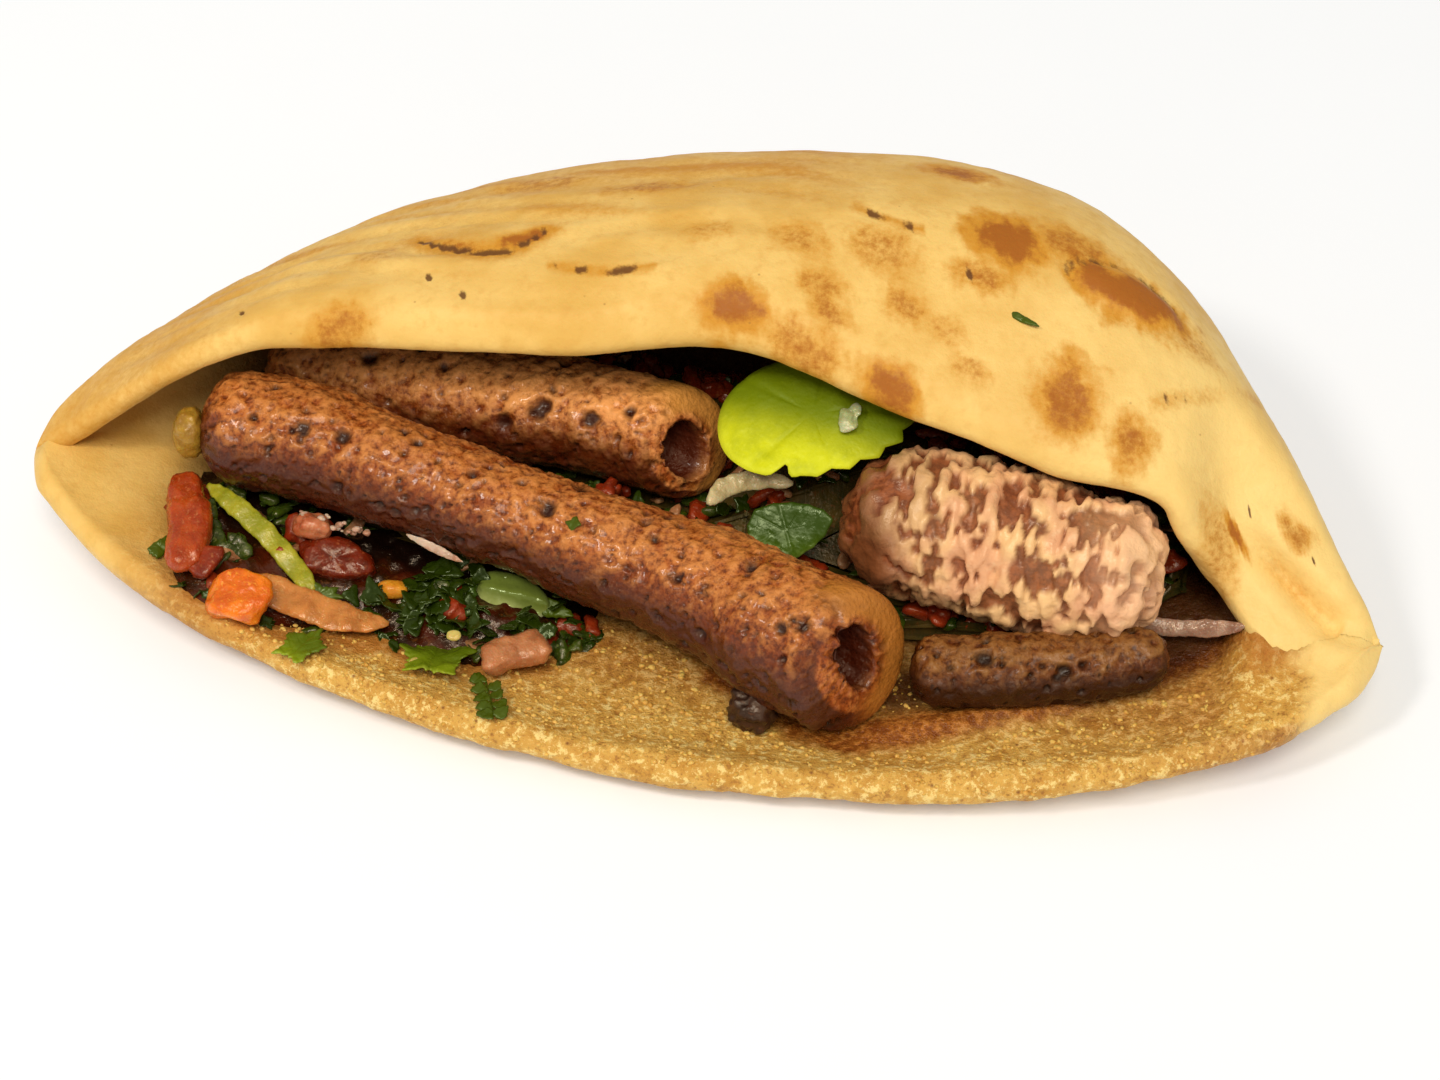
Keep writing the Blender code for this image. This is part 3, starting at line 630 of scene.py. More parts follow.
def make_bread(paint):
    grid, crumb, w, torn, folded = bread_rings()
    shape = grid.shape
    normals = tube_normals(grid)
    for i, ledge in folded:
        lip = slice(OUTER_ROWS - 1, OUTER_ROWS + 1)
        normals[i, lip] = normals[i, ledge - 1:ledge + 1] = normals[i, OUTER_ROWS - 2]
        crumb[i, lip] = w[i, lip] = 0.0
    normals = normals.reshape(-1, 3)
    p = grid.reshape(-1, 3)
    crumb, w, torn = crumb.ravel(), w.ravel(), torn.ravel()
    x, z = p[:, 0], p[:, 2]
    brown, golden, dark = crust_marks(p, w, crumb)
    _, blister = in_spot(x, w, BLISTER, 0.10 * noise(p, 3.0, 31))
    skin, inside = 1 - crumb, crumb
    charred = bell(blister, 1.08, 0.10) * smoothstep(-1.5, 2.0, w - BLISTER[1])
    dark = np.maximum(dark, 0.55 * skin * charred)

    height = 0.75 * noise(p, 36, 1) + 0.35 * noise(p, 13, 2)
    height += skin * 0.10 * fractal(p, 4.5, 4, 2)
    wrinkled = skin * smoothstep(32, -15, x) * bell(w, 27, 20) * smoothstep(-106, -90, x)
    long_ways = np.column_stack([x / 9, w + 0.06 * x, z / 9])
    height += wrinkled * (0.75 * noise(long_ways, 3.8, 6) - 0.55 * bell(noise(long_ways, 5.5, 7), 0, 0.10))
    height += skin * (0.7 * (1 - smoothstep(0.6, 1.1, blister)) - 0.35 * bell(blister, 1.15, 0.14))
    height -= skin * (0.45 * dark + 0.18 * brown)
    ledge = inside * smoothstep(-96, -72, x)
    height += ledge * (0.30 * fractal(p, 7.0, 8, 2) + 0.16 * fractal(p, 1.9, 9, 2))
    away, share = near_line(p, smooth_line(CREASE))
    crease = skin * bell(away, 0, 2.0) * np.sin(np.pi * np.clip(share, 0, 1)) ** 0.5
    height -= 2.8 * crease
    # Painted shade: the crease is painted golden-dark along its valley.
    golden = np.maximum(golden, 0.50 * crease)
    height += skin * bell(away, 4.2, 2.4)
    away, _ = near_line(p, smooth_line(SWELLING))
    height += 0.9 * bell(away, 0.0, 3.6)
    away, share = near_line(p[:, :2], smooth_line(JUICY_FOLD))
    band = inside * (z < 20) * np.sin(np.pi * np.clip(share, 0.0, 1.0)) ** 0.5
    height += band * FOLD_HEIGHT * bell(away, 0.0, FOLD_HALF)
    height *= 1 - smoothstep(HALF_LENGTH - 7.0, HALF_LENGTH - 0.5, np.abs(x))
    flat, p = p, p + normals * height[:, None]
    p[:, 2] = np.maximum(p[:, 2], 0.0)

    # Painted light: the flap's right half is painted paler near the lip, and the right end too, where the
    # front light falls brightest.
    light = smoothstep(20, 95, x) * np.maximum(smoothstep(60, 20, w), smoothstep(90, 98, x))
    torn, deep, soaked, stained = crumb_marks(flat, p, inside, torn)
    return piece("bread", *closed_tube(p.reshape(shape)), "bread", ["bread"], paint, crumb=torn, light=light,
                 brown=brown, golden=golden, dark=dark, deep=deep, soaked=soaked, stained=stained)


def crumb_marks(flat, p, inside, torn):
    """How torn, soaked and stained the bread's inside is at each point, and where it is painted dark as
    painted shade of the pocket (deep), before and after its relief.
    """
    x, y, z = flat.T
    ragged = 0.9 * noise(p, 5.0, 21) + 0.5 * noise(p, 2.0, 22)

    def along(table):
        line = smooth_line(table)
        away, share = near_line(flat[:, :2], line[:, :2])
        half = np.interp(share, np.linspace(0, 1, len(line)), line[:, 2])
        return inside * (z < 22) * (1 - smoothstep(0.55, 1.35, away / half + 0.28 * ragged))

    def around(points, place, near, far, rough=0.0):
        return 1 - smoothstep(near, far, np.linalg.norm(points - place, axis=1) + rough * ragged)

    soaked, stained = along(SOAKED), along(STAINED)
    stained = np.maximum(stained, torn * (z < 20) * 0.6 * smoothstep(-52, -76, x))
    stained = np.maximum(stained, torn * around(p, CUP, 3.0, 9.0, 1.5))
    torn_end = np.interp(y, *np.array(CRUMB_END, float).T)
    torn = torn * smoothstep(-98, -74, x) * (1 - smoothstep(-2.5, 2.5, x - torn_end + 1.5 * ragged))
    # Painted shade: deep paints the crumb near black deep in the pocket, behind the dark border on the right,
    # behind the right kofta, in the left corner and over the far end of the soaked band.
    left = smoothstep(-68, -84, x)
    deep = inside * smoothstep(-17 - 6 * left, -4 - 5 * left, y) * smoothstep(-98, -86, x)
    border = np.interp(x, *np.array(DARK_BORDER, float).T)
    right = smoothstep(60, 70, x)
    deep = deep * (1 - right) + right * torn * smoothstep(-1.5, 1.5, y - border + 0.8 * ragged)
    deep *= 1 - smoothstep(90, 92, x)
    deep = np.maximum(deep, inside * (z < 16) * 0.9 * around(flat[:, :2], BEHIND_RIGHT_KOFTA, 3.0, 7.0))
    deep = np.maximum(deep, inside * 0.8 * around(p, LEFT_CUP, 3.0, 9.0))
    deep = np.maximum(deep, soaked * 0.6 * smoothstep(60, 76, x) * (1 - smoothstep(86, 91, x)))
    under_rolls = inside * smoothstep(-38, -20, y) * (z < 12)
    return torn, deep, np.maximum(soaked, 0.6 * under_rolls), stained


def bread_paint():
    paint = Paint("bread", Roughness=0.6, Subsurface_Weight=0.06, Subsurface_Scale=0.003,
                  Specular_IOR_Level=0.3)
    mottle = paint.noise(14, 3)
    fine = paint.noise(2.2, 4, 0.6)
    paint.base = paint.mix(paint.step(mottle, 0.35, 0.68), (0.83, 0.545, 0.160), (0.72, 0.42, 0.090))
    paint.over(paint.step(fine, 0.45, 0.8, 0.0, 0.55), (0.66, 0.36, 0.075))
    # Painted light: paler crust where the mesh's light value marks the brightly lit right half.
    paint.marked("light", (0.91, 0.67, 0.25), 0.6)
    rough_edge = paint.sum(paint.noise(1.3, 4, 0.7), 0.5, "SUBTRACT")
    baked = (
        ("golden", 0.7, 0.10, 0.85, 1.0, (0.62, 0.275, 0.022)),
        ("brown", 0.9, 0.12, 0.70, 0.9, (0.35, 0.098, 0.006)),
        ("dark", 0.8, 0.15, 0.60, 0.9, (0.12, 0.040, 0.008)),
    )
    for name, rough, low, high, most, color in baked:
        reach = paint.sum(paint.value(name), paint.times(rough_edge, rough))
        paint.over(paint.step(reach, low, high), color, most)
    paint.over(paint.step(paint.cells(5.5), 0.0, 0.06, 0.6, 0.0), (0.30, 0.12, 0.02))
    crust = paint.base

    grain = paint.noise(1.5, 4, 0.74)
    broad = paint.step(paint.noise(5.0, 3, 0.6), 0.35, 0.7)
    paint.base = paint.mix(broad, (0.74, 0.42, 0.085), (0.58, 0.28, 0.040))
    paint.over(paint.step(grain, 0.51, 0.62, 0.0, 0.95), (0.93, 0.68, 0.24))
    paint.over(paint.step(grain, 0.46, 0.33, 0.0, 0.75), (0.34, 0.13, 0.020))
    paint.over(paint.step(paint.cells(3.6), 0.0, 0.14, 0.9, 0.0), (0.20, 0.06, 0.012))
    paint.marked("stained", (0.44, 0.15, 0.018), 0.75)
    wet = paint.mix(paint.step(grain, 0.4, 0.65), (0.20, 0.042, 0.005), (0.50, 0.155, 0.018))
    paint.marked("soaked", wet, 0.92)
    # Painted shade: the pocket's crumb painted near black where the mesh marks it deep.
    paint.marked("deep", (0.055, 0.011, 0.0025), 0.92)

    paint.color(paint.mix(paint.value("crumb"), crust, paint.base))
    dry = paint.step(fine, 0.3, 0.7, 0.50, 0.66)
    gloss = paint.times(paint.value("soaked"), -0.36)
    paint.roughness(paint.sum(dry, gloss))
    coarse = paint.times(paint.value("crumb"), grain)
    smooth = paint.times(paint.sum(1.0, paint.value("crumb"), "SUBTRACT"), paint.noise(2.4, 4, 0.6))
    paint.bump((coarse, 0.75), (smooth, 0.26), (paint.noise(0.5, 2), 0.05))
    return paint


# ---- rolls

# x, y, z and radius along each axis, as in the solids.
KOFTA_FRONT = (
    (-81.5, -3.8, 24.8, 9.6), (-66.0, -3.4, 24.6, 9.9), (-48.5, -7.1, 23.6, 9.0), (-30.0, -11.0, 22.0, 8.7),
    (-12.0, -15.0, 20.3, 9.0), (6.0, -18.6, 18.6, 10.2), (20.0, -24.8, 17.6, 11.7), (32.5, -29.8, 17.2, 11.8),
)
KOFTA_BACK = (
    (-77.0, 16.6, 23.8, 8.4), (-60.0, 15.8, 23.0, 9.0), (-38.0, 13.2, 24.0, 9.2), (-18.0, 11.2, 25.0, 9.4),
    (-2.0, 6.9, 25.2, 9.4),
)
KOFTA_RIGHT = (
    (39.5, -23.4, 11.8, 5.8), (56.0, -20.2, 12.6, 5.8), (68.0, -17.6, 13.4, 5.6), (79.0, -14.4, 15.2, 5.0),
)
FAT_ROLL = (
    (24.5, -4.6, 23.4, 9.5), (36.0, -4.2, 24.2, 11.4), (49.0, -4.2, 24.2, 12.2), (62.5, -5.4, 23.2, 11.9),
    (77.0, -5.4, 22.0, 10.6),
)
TOWARDS_OPEN = unit(np.array([0.15, -0.73, 0.67]))
SLOT_DEPTH = 13.0
# How many rings round off each end.
END_RINGS = 16
WARM_SHINE = (1.0, 0.80, 0.58, 1.0)


def roll_rings(axis, rings, sides, left_dome, right_dome, slant=0.0, mouth=None, forward=0.0, raised=0.0,
               folds=7):
    """Rings of a roll, and for each point its reach along the axis, how far into the open end and its turn.

    mouth holds the half sizes of the slot in the right end, which sits forward of and raised from the axis;
    without one the end closes.
    """
    dense = curve(axis, np.linspace(0, 1, 500))
    lengths = arc_lengths(dense[:, :3])
    total = lengths[-1]
    quarter = np.linspace(0.03, 1, END_RINGS) * np.pi / 2
    reach = [left_dome * (1 - np.cos(quarter)), np.linspace(left_dome, total - right_dome, rings)[1:]]
    share = [np.sin(quarter), np.ones(rings - 1)]
    reach.append(total - right_dome * (1 - np.sin(quarter)))
    share.append(np.ones(END_RINGS))
    into = [np.zeros(END_RINGS + rings - 1), 1 - np.cos(quarter) * 0.999]
    if mouth:
        depth = np.linspace(0.06, 1, END_RINGS)
        reach.append(total - SLOT_DEPTH * depth)
        share.append(1 - 0.6 * depth**2)
        into.append(1 + depth)
    reach, share, into = (np.concatenate(part) for part in (reach, share, into))
    centre = np.stack([np.interp(reach, lengths, dense[:, k]) for k in range(4)], axis=1)
    run = unit(np.stack([np.interp(reach, lengths, c) for c in np.gradient(dense[:, :3], axis=0).T], axis=1))
    side = unit(np.cross(run, (0, 0, 1.0)))
    up = np.cross(side, run)
    turn = 2 * np.pi * np.arange(sides) / sides
    half_side, half_up = mouth or (0.02, 0.02)
    hole = 1 / np.sqrt((np.cos(turn) / half_side) ** 2 + (np.sin(turn) / half_up) ** 2)
    open_share = np.clip(into, 0, 1)[:, None]
    radius = centre[:, 3:4] * (1 - open_share) + hole[None, :] * open_share
    ripple = 0.03 * np.sin(folds * 2 * np.pi * reach / total + 1.0)
    radius = radius * share[:, None] * (1 + ripple[:, None] * np.cos(turn - 0.6))
    round_axis = np.cos(turn)[:, None] * side[:, None] + np.sin(turn)[:, None] * up[:, None]
    offset = radius[..., None] * round_axis
    late = smoothstep(total - 24, total, reach)[:, None]
    lean = -slant * late * (offset @ TOWARDS_OPEN)
    moved = np.clip(into, 0, 1)[:, None, None] * (forward * side + raised * up)[:, None]
    grid = centre[:, None, :3] + offset + run[:, None] * lean[..., None] + moved
    marks = np.broadcast_arrays(reach[:, None], into[:, None], turn)
    return grid, *(mark.ravel() for mark in marks)


def pitted(points, count, smallest, largest, rng):
    """1 inside pits scattered over the points, 0 elsewhere."""
    inside = np.zeros(len(points))
    ragged = 0.30 * noise(points, 1.4, 77)
    for centre in points[rng.integers(0, len(points), count)]:
        radius = smallest + (largest - smallest) * rng.random() ** 2.5
        away = np.linalg.norm(points - centre, axis=1) / radius
        inside = np.maximum(inside, 1 - smoothstep(0.45, 1.15, away + ragged))
    return inside


def skin_of(grid):
    """A grid's points and normals in rows, and a fade to 0 where its rings crowd together at an end."""
    spacing = np.linalg.norm(np.gradient(grid, axis=0), axis=2)
    return grid.reshape(-1, 3), tube_normals(grid).reshape(-1, 3), smoothstep(0.0, 0.25, spacing).ravel()


def make_kofta(name, axis, rings, sides, paint, seed, mouth=None, pits=120, **ends):
    grid, reach, into, turn = roll_rings(axis, rings, sides, mouth=mouth, **ends)
    p, normals, ends_fade = skin_of(grid)
    rng = np.random.default_rng(seed)
    lumps = noise(p, 12, seed) + 0.5 * noise(p, 5.5, seed + 4)
    ridged = 1 - 2.4 * np.abs(noise(p, 3.4, seed + 1))
    crinkle = fractal(p, 2.1, seed + 2, 2)
    bent = p + 0.9 * np.stack([noise(p, 3, seed + k) for k in (5, 6, 7)], 1)
    net = nearest_two(bent, 6.5, seed)
    strand = (1 - smoothstep(0.0, 0.14, net[1] - net[0])) * smoothstep(-0.2, 0.3, noise(p, 15, seed + 8))
    pit = pitted(p, pits, 0.55, 1.9, rng)
    pit = np.maximum(pit, 0.75 * pitted(p, 3 * pits, 0.35, 0.8, rng))
    sharp = 1 - 2.2 * np.abs(noise(bent, 2.3, seed + 9))
    height = 0.40 * lumps + 0.12 * ridged + 0.20 * strand + 0.30 * crinkle + 0.22 * sharp - 1.0 * pit
    # The far side of an open end is a smooth pale rim.
    far_side = smoothstep(0.45, -0.25, np.cos(turn)) if mouth else 0.0
    at_end = smoothstep(reach.max() - 9.0, reach.max() - 3.5, reach)
    edge = far_side * at_end * (1 - smoothstep(0.55, 0.9, into))
    height = height * (1 - 0.85 * edge) + 0.5 * bell(into, 0.10, 0.3) * edge
    pit = pit * (1 - edge)
    # Painted shade: the inside of the open end is painted dark.
    cavity = smoothstep(0.8, 1.2, into)
    height = np.where(into > 1, 0.5 * height, height) - 0.3
    p = p + normals * (height * ends_fade)[:, None]
    # Painted light: lit marks the up-facing top, and light adds it to the pale strands, crinkles and ridges,
    # so the top is painted paler.
    lit = smoothstep(0.3, 0.95, normals[:, 2])
    light = 0.15 * strand + 0.35 * smoothstep(-0.3, 0.8, crinkle) + 0.30 * sharp + 0.36 * lit
    # Painted shade: under marks the down-facing underside, away from the open end's rim.
    under = smoothstep(0.80, 0.05, normals[:, 2]) * (into <= 0.5) * (1 - edge)
    piece(name, *closed_tube(p.reshape(grid.shape)), "kofta", [name], paint, pit=pit,
          light=np.clip(light, 0, 1), cavity=cavity, edge=edge, under=under)


def kofta_paint(name, lighter, tone, coat=0.25):
    """Browned minced meat, with painted light on its up-facing top and painted shade on its underside and in
    its open end. lighter shows more of the pale tone, and tone multiplies all the colours.
    """
    paint = Paint(name, Roughness=0.32, Coat_Weight=coat, Coat_Roughness=0.10, Specular_Tint=WARM_SHINE,
                  Specular_IOR_Level=0.4)
    broad = paint.noise(9, 3)
    fine = paint.noise(1.0, 4, 0.7)
    paint.base = paint.mix(paint.step(broad, 0.38, 0.64), (0.30, 0.060, 0.008), (0.46, 0.125, 0.018))
    paint.over(paint.step(fine, 0.60, 0.32, 0.0, 0.92), (0.11, 0.018, 0.003))
    # The pale tone follows the light value: pale strands and ridges, and painted light on the top.
    pale = paint.sum(paint.value("light"), paint.times(fine, 1.5))
    paint.over(paint.step(pale, 0.95 - lighter, 1.85 - lighter), (0.76, 0.34, 0.100), 0.8)
    paint.marked("edge", (0.56, 0.25, 0.045), 0.8)
    # Painted shade on the down-facing underside.
    paint.marked("under", (0.050, 0.006, 0.001), 0.92)
    paint.marked("pit", (0.030, 0.005, 0.002))
    # Painted shade inside the open end.
    paint.marked("cavity", (0.070, 0.012, 0.004))
    paint.color(paint.mix(1.0, paint.base, tone, "MULTIPLY"))
    paint.roughness(paint.step(paint.noise(2.6, 3), 0.35, 0.65, 0.16, 0.50))
    paint.bump((fine, 0.35), (paint.cells(0.9), 0.12))
    return paint


def make_fat_roll(paint):
    """The roll of pale caul fat, gathered in ridges that run round it, with meat showing in the hollows."""
    seed = 40
    grid, *_ = roll_rings(FAT_ROLL, 150, 150, 10.0, 8.0)
    p, normals, ends_fade = skin_of(grid)
    around = p * (1.0, 0.55, 0.55)
    gather = noise(around, 2.8, seed) + 0.6 * noise(around, 1.3, seed + 1)
    lumps = noise(p, 10, seed + 2)
    crinkle = fractal(p, 2.2, seed + 3, 2)
    hollow = smoothstep(0.02, 0.26, -gather + 0.30 * lumps + 0.30 * crinkle)
    height = 0.8 * gather + 0.6 * lumps + 0.28 * crinkle - 0.75 * hollow - 0.1
    hem = bell(p[:, 2], 12.5, 2.0) * (p[:, 1] < -5)
    height += 0.7 * hem * (1 + noise(p, 4.0, seed + 5))
    height += 1.8 * smoothstep(0.2, 0.9, normals[:, 2]) * bell(p[:, 0], 36, 12)
    p = p + normals * (height * ends_fade)[:, None]
    left = 1 - smoothstep(27, 44, p[:, 0] + 5 * lumps)
    right = smoothstep(60, 76, p[:, 0] + 4 * lumps)
    hollow *= 1 - 0.45 * right
    piece("fat_roll", *closed_tube(p.reshape(grid.shape)), "fat_wrap", ["fat_roll"], paint,
          hollow=hollow, left=left, right=right, hem=hem)


def fat_paint():
    paint = Paint("fat_wrap", Roughness=0.36, Coat_Weight=0.15, Coat_Roughness=0.2, Specular_Tint=WARM_SHINE)
    broad = paint.noise(9, 2)
    fine = paint.noise(1.5, 4, 0.6)
    paint.base = paint.mix(paint.step(broad, 0.4, 0.62), (0.86, 0.52, 0.23), (0.76, 0.38, 0.19))
    paint.marked("right", (0.92, 0.54, 0.31), 0.6)
    paint.over(paint.step(fine, 0.5, 0.75, 0.0, 0.5), (0.80, 0.52, 0.28))
    paint.marked("left", (0.15, 0.034, 0.004), 0.92)
    meat = paint.mix(paint.step(fine, 0.4, 0.65), (0.14, 0.026, 0.007), (0.30, 0.075, 0.020))
    paint.marked("hollow", meat, 0.9)
    paint.marked("hem", (0.64, 0.26, 0.15), 0.4)
    paint.color(paint.base)
    paint.roughness(paint.step(paint.noise(3.0, 2), 0.3, 0.7, 0.26, 0.45))
    paint.bump((paint.noise(0.9, 3, 0.6), 0.22), (paint.noise(2.2, 2, stretch=(1.0, 0.4, 0.4)), 0.35))
    return paint


# ---- leaves

VEIN_SPACING, VEIN_DEPTH = 2.0, 0.15


def leaf_body(middle, across, along, half, edge, lift, thickness, rings=16, steps=144):
    """A thin leaf from its middle out over the top and back underneath.

    edge(turn) scales the outline and lift(u, v, share) raises the sheet. The last result is each point's
    share of the way to the edge.
    """
    across = unit(np.asarray(across, float))
    along = np.asarray(along, float)
    along = unit(along - across * (along @ across))
    normal = np.cross(across, along)
    turn = 2 * np.pi * np.arange(steps) / steps
    shares = np.linspace(0.04, 1, rings)
    shares = np.concatenate([shares, shares[::-1]])
    side = np.concatenate([np.ones(rings), -np.ones(rings)])
    thin = side * thickness / 2 * np.sqrt(np.clip(1 - shares**6, 0.06, 1))
    u = half[0] * shares[:, None] * edge(turn) * np.cos(turn)
    v = half[1] * shares[:, None] * edge(turn) * np.sin(turn)
    high = lift(u, v, shares[:, None]) + thin[:, None]
    grid = np.asarray(middle, float) + u[..., None] * across + v[..., None] * along + high[..., None] * normal
    return grid, np.repeat(shares[:, None], steps, 1).ravel()


def toothed(lobes, lobe_depth, teeth=0, tooth_depth=0.0, start=0.0):
    """The outline of a leaf with rounded lobes and small teeth on them."""
    def edge(turn):
        wave = 1 - lobe_depth * np.abs(np.sin(lobes * (turn - start) / 2))
        return wave - tooth_depth * np.abs(np.sin(teeth * turn / 2 + 0.7))
    return edge


def veins(u, v):
    """How near a point is to the leaf's midrib or a side vein: 1 on it."""
    slope = (v - 0.9 * np.abs(u)) / VEIN_SPACING
    side = bell(np.abs(slope - np.round(slope)), 0, 0.09) * (np.abs(u) > 0.3)
    return np.maximum(bell(u, 0, 0.35), 0.6 * side)


def ripples(u, v, size, seed, layer=0.0):
    flat = np.column_stack([u.ravel(), v.ravel(), np.full(u.size, float(layer))])
    return noise(flat, size, seed).reshape(u.shape)


def crumpled(cup, wave, size, seed, vein=VEIN_DEPTH):
    """The lift of a leaf that is cupped, crumpled and veined."""
    def lift(u, v, share):
        ripple = wave * ripples(u, v, size, seed, seed) * (0.3 + 0.7 * share)
        return cup * u * u + ripple - vein * veins(u, v)
    return lift


def make_leaf(name, slot, paint, middle, across, along, half, edge, lift, thickness):
    grid, share = leaf_body(middle, across, along, half, edge, lift, thickness)
    away = grid.reshape(-1, 3) - middle
    # Painted shade: back grows towards the leaf's far end, where leaf_paint darkens it.
    back = away @ unit(along) / half[1] + 0.35 * (away @ unit(across)) / half[0]
    piece(name, *closed_tube(grid), slot, [name], paint, share=share, back=back)


def round_leaf_edge(turn):
    """Smooth on its left, sharply toothed on its lower right, with one deep notch at the bottom."""
    low_right = smoothstep(-2.0, -1.5, wrapped(turn)) * (1 - smoothstep(-0.2, 0.3, wrapped(turn)))
    teeth = 0.085 * np.abs(((turn * 9 / np.pi) % 1) * 2 - 1) * low_right
    notch = 0.22 * bell(wrapped(turn + 1.95), 0, 0.07)
    slow = 0.03 * np.cos(3 * turn + 0.5)
    return 1.0 + slow - teeth - notch


def wrapped(turn):
    return (np.asarray(turn) + np.pi) % (2 * np.pi) - np.pi


def round_leaf_lift(u, v, share):
    """Drooping at its edge, with a swelling right of the middle and ribs that fan out."""
    ribs = bell(wrapped(np.arctan2(v, u) * 5), 0, 0.35) * smoothstep(0.1, 0.4, share)
    swelling = 0.9 * bell(u, 4.5, 2.2) * bell(v, 2.0, 5.0)
    return -0.006 * (u * u + v * v) + 0.5 * ripples(u, v, 7, 50) * share + swelling - 0.22 * ribs


def leaf_paint(name, lit, deep, pale, rough=0.3, edge_pale=0.3, shine=0.4, mottled=0.75):
    paint = Paint(name, Roughness=rough, Specular_IOR_Level=shine, Specular_Tint=(0.85, 1.0, 0.6, 1.0))
    paint.base = paint.mix(paint.step(paint.noise(4.0, 3, 0.6), 0.35, 0.75, 0.0, mottled), lit, deep)
    paint.over(paint.step(paint.noise(0.7, 2), 0.5, 0.8, 0.0, 0.35), pale)
    paint.over(paint.step(paint.value("share"), 0.86, 1.0, 0.0, edge_pale), pale)
    # Painted shade: darker towards the leaf's back.
    paint.over(paint.step(paint.value("back"), -0.78, 0.14, 0.0, 0.97), deep)
    paint.color(paint.base)
    paint.roughness(paint.step(paint.noise(1.6, 2), 0.3, 0.7, rough - 0.08, rough + 0.12))
    paint.bump((paint.noise(0.6, 2), 0.06), (paint.noise(2.0, 2), 0.2))
    return paint


def make_greens():
    lime = leaf_paint("lime_leaf", (0.64, 0.66, 0.008), (0.14, 0.19, 0.002), (0.74, 0.76, 0.05), 0.46, 0.3,
                      0.2, 0.35)
    dark = leaf_paint("green_leaf", (0.070, 0.125, 0.005), (0.030, 0.060, 0.003), (0.22, 0.29, 0.05), 0.28)
    herb = leaf_paint("herb", (0.23, 0.31, 0.006), (0.090, 0.130, 0.003), (0.40, 0.44, 0.03), 0.30)
    drop = wet_paint("droplet", (0.48, 0.50, 0.28), (0.34, 0.38, 0.14), (0.80, 0.80, 0.60), 0.10, 0.3)
    make_leaf("round_leaf", "lime_leaf", lime, (18.2, 4.7, 37.5), (0.96, 0.2, 0.12), (-0.1, 0.86, 0.42),
              (15.8, 10.6), round_leaf_edge, round_leaf_lift, 0.9)
    make_chunk("leaf_droplet", "onion", [], drop, (24.4, 3.4, 39.0), (1.7, 2.7, 0.6), -0.3, 0.42, 0.95, 0.25,
               lumps=0.5)
    make_leaf("green_leaf", "green_leaf", dark, (16.4, -6.6, 22.4), (0.9, 0.3, 0.25), (-0.3, 0.6, 0.7),
              (7.8, 5.4), toothed(3, 0.18, 14, 0.03), crumpled(0.02, 0.4, 3.5, 3), 0.8)
    parsley = (
        ("large", herb, 0.0, (1.0, 0.1, 0.0), (-0.1, 0.95, -0.35), (7.2, 8.2), (5, 0.34, 23, 0.09, 0.3),
         (0.02, 0.8, 2.8, 5)),
        ("dark", dark, 0.0, (0.97, 0.1, -0.1), (0.0, 0.85, 0.5), (6.2, 5.0), (5, 0.3, 19, 0.1, 0.9),
         (-0.02, 0.8, 2.6, 7)),
        ("rim", herb, 0.5, (0.95, -0.28, 0.1), (0.28, 0.95, -0.10), (4.6, 5.4), (5, 0.32, 17, 0.1, 0.2),
         (0.0, 0.6, 2.4, 9)),
    )
    for which, paint, lower, across, along, half, edge, lift in parsley:
        name = "parsley_" + which
        make_leaf(name, "herb", paint, placed(name) - (0, 0, lower), across, along, half, toothed(*edge),
                  crumpled(*lift), 0.7)


def placed(node):
    """The middle of a solid's box in layout millimetres."""
    low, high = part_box(node)
    middle = (low + high) / 2 / MM
    return np.array([middle.x, middle.y + ORIGIN_Y, middle.z])


# ---- strips and cut pieces


def strip_grid(path, width, thickness, flat, ends=(0.35, 0.35), rings=46, sides=20, wave=0.0, seed=0):
    """Rings of a flat strip along a curve. Its broad side faces the direction given as flat."""
    flat = np.asarray(flat, float)
    places = np.linspace(0, 1, rings)
    centre = curve(path, places)
    run = unit(np.gradient(centre, axis=0))
    across = unit(np.cross(run, flat))
    normal = np.cross(across, run)
    rounded = np.sqrt(1 - np.abs(2 * np.clip(places, 0.012, 0.988) - 1) ** 6)
    size = rounded * (1 - (1 - ends[0]) * (1 - places) ** 3 - (1 - ends[1]) * places**3)
    turn = 2 * np.pi * np.arange(sides) / sides
    u = np.sign(np.cos(turn)) * np.abs(np.cos(turn)) ** 0.8
    v = np.sign(np.sin(turn)) * np.abs(np.sin(turn)) ** 0.7
    ripple = wave * noise(centre, 3.5, seed)
    half = size * width / 2 * (1 + 0.15 * noise(centre, 4.0, seed + 1))
    grid = (centre + normal * ripple[:, None])[:, None] + across[:, None] * (half[:, None] * u)[..., None]
    return grid + normal[:, None] * ((size**0.6 * thickness / 2)[:, None] * v)[..., None]


def roughened(grid, depth, size, seed):
    """The grid pushed in and out by noise along its own normals."""
    normals = tube_normals(grid)
    push = depth * fractal(grid.reshape(-1, 3), size, seed, 2)
    return grid + normals * push.reshape(grid.shape[:2])[..., None]


def chunk_grid(half, boxy=0.5, rings=22, sides=30, seed=0, lumps=0.12):
    """Rings of a cut piece round the origin, its corners rounded."""
    lat = np.pi * (np.linspace(0.012, 0.988, rings) - 0.5)[:, None]
    lon = (2 * np.pi * np.arange(sides) / sides)[None, :]
    ball = [np.cos(lat) * np.cos(lon), np.cos(lat) * np.sin(lon), np.sin(lat) + 0 * lon]
    ball = np.stack(ball, axis=-1)
    grid = np.sign(ball) * np.abs(ball) ** boxy * np.asarray(half, float)
    wave = 1 + lumps * noise(grid.reshape(-1, 3), 0.9 * max(half), seed).reshape(rings, sides)
    return grid * wave[..., None]


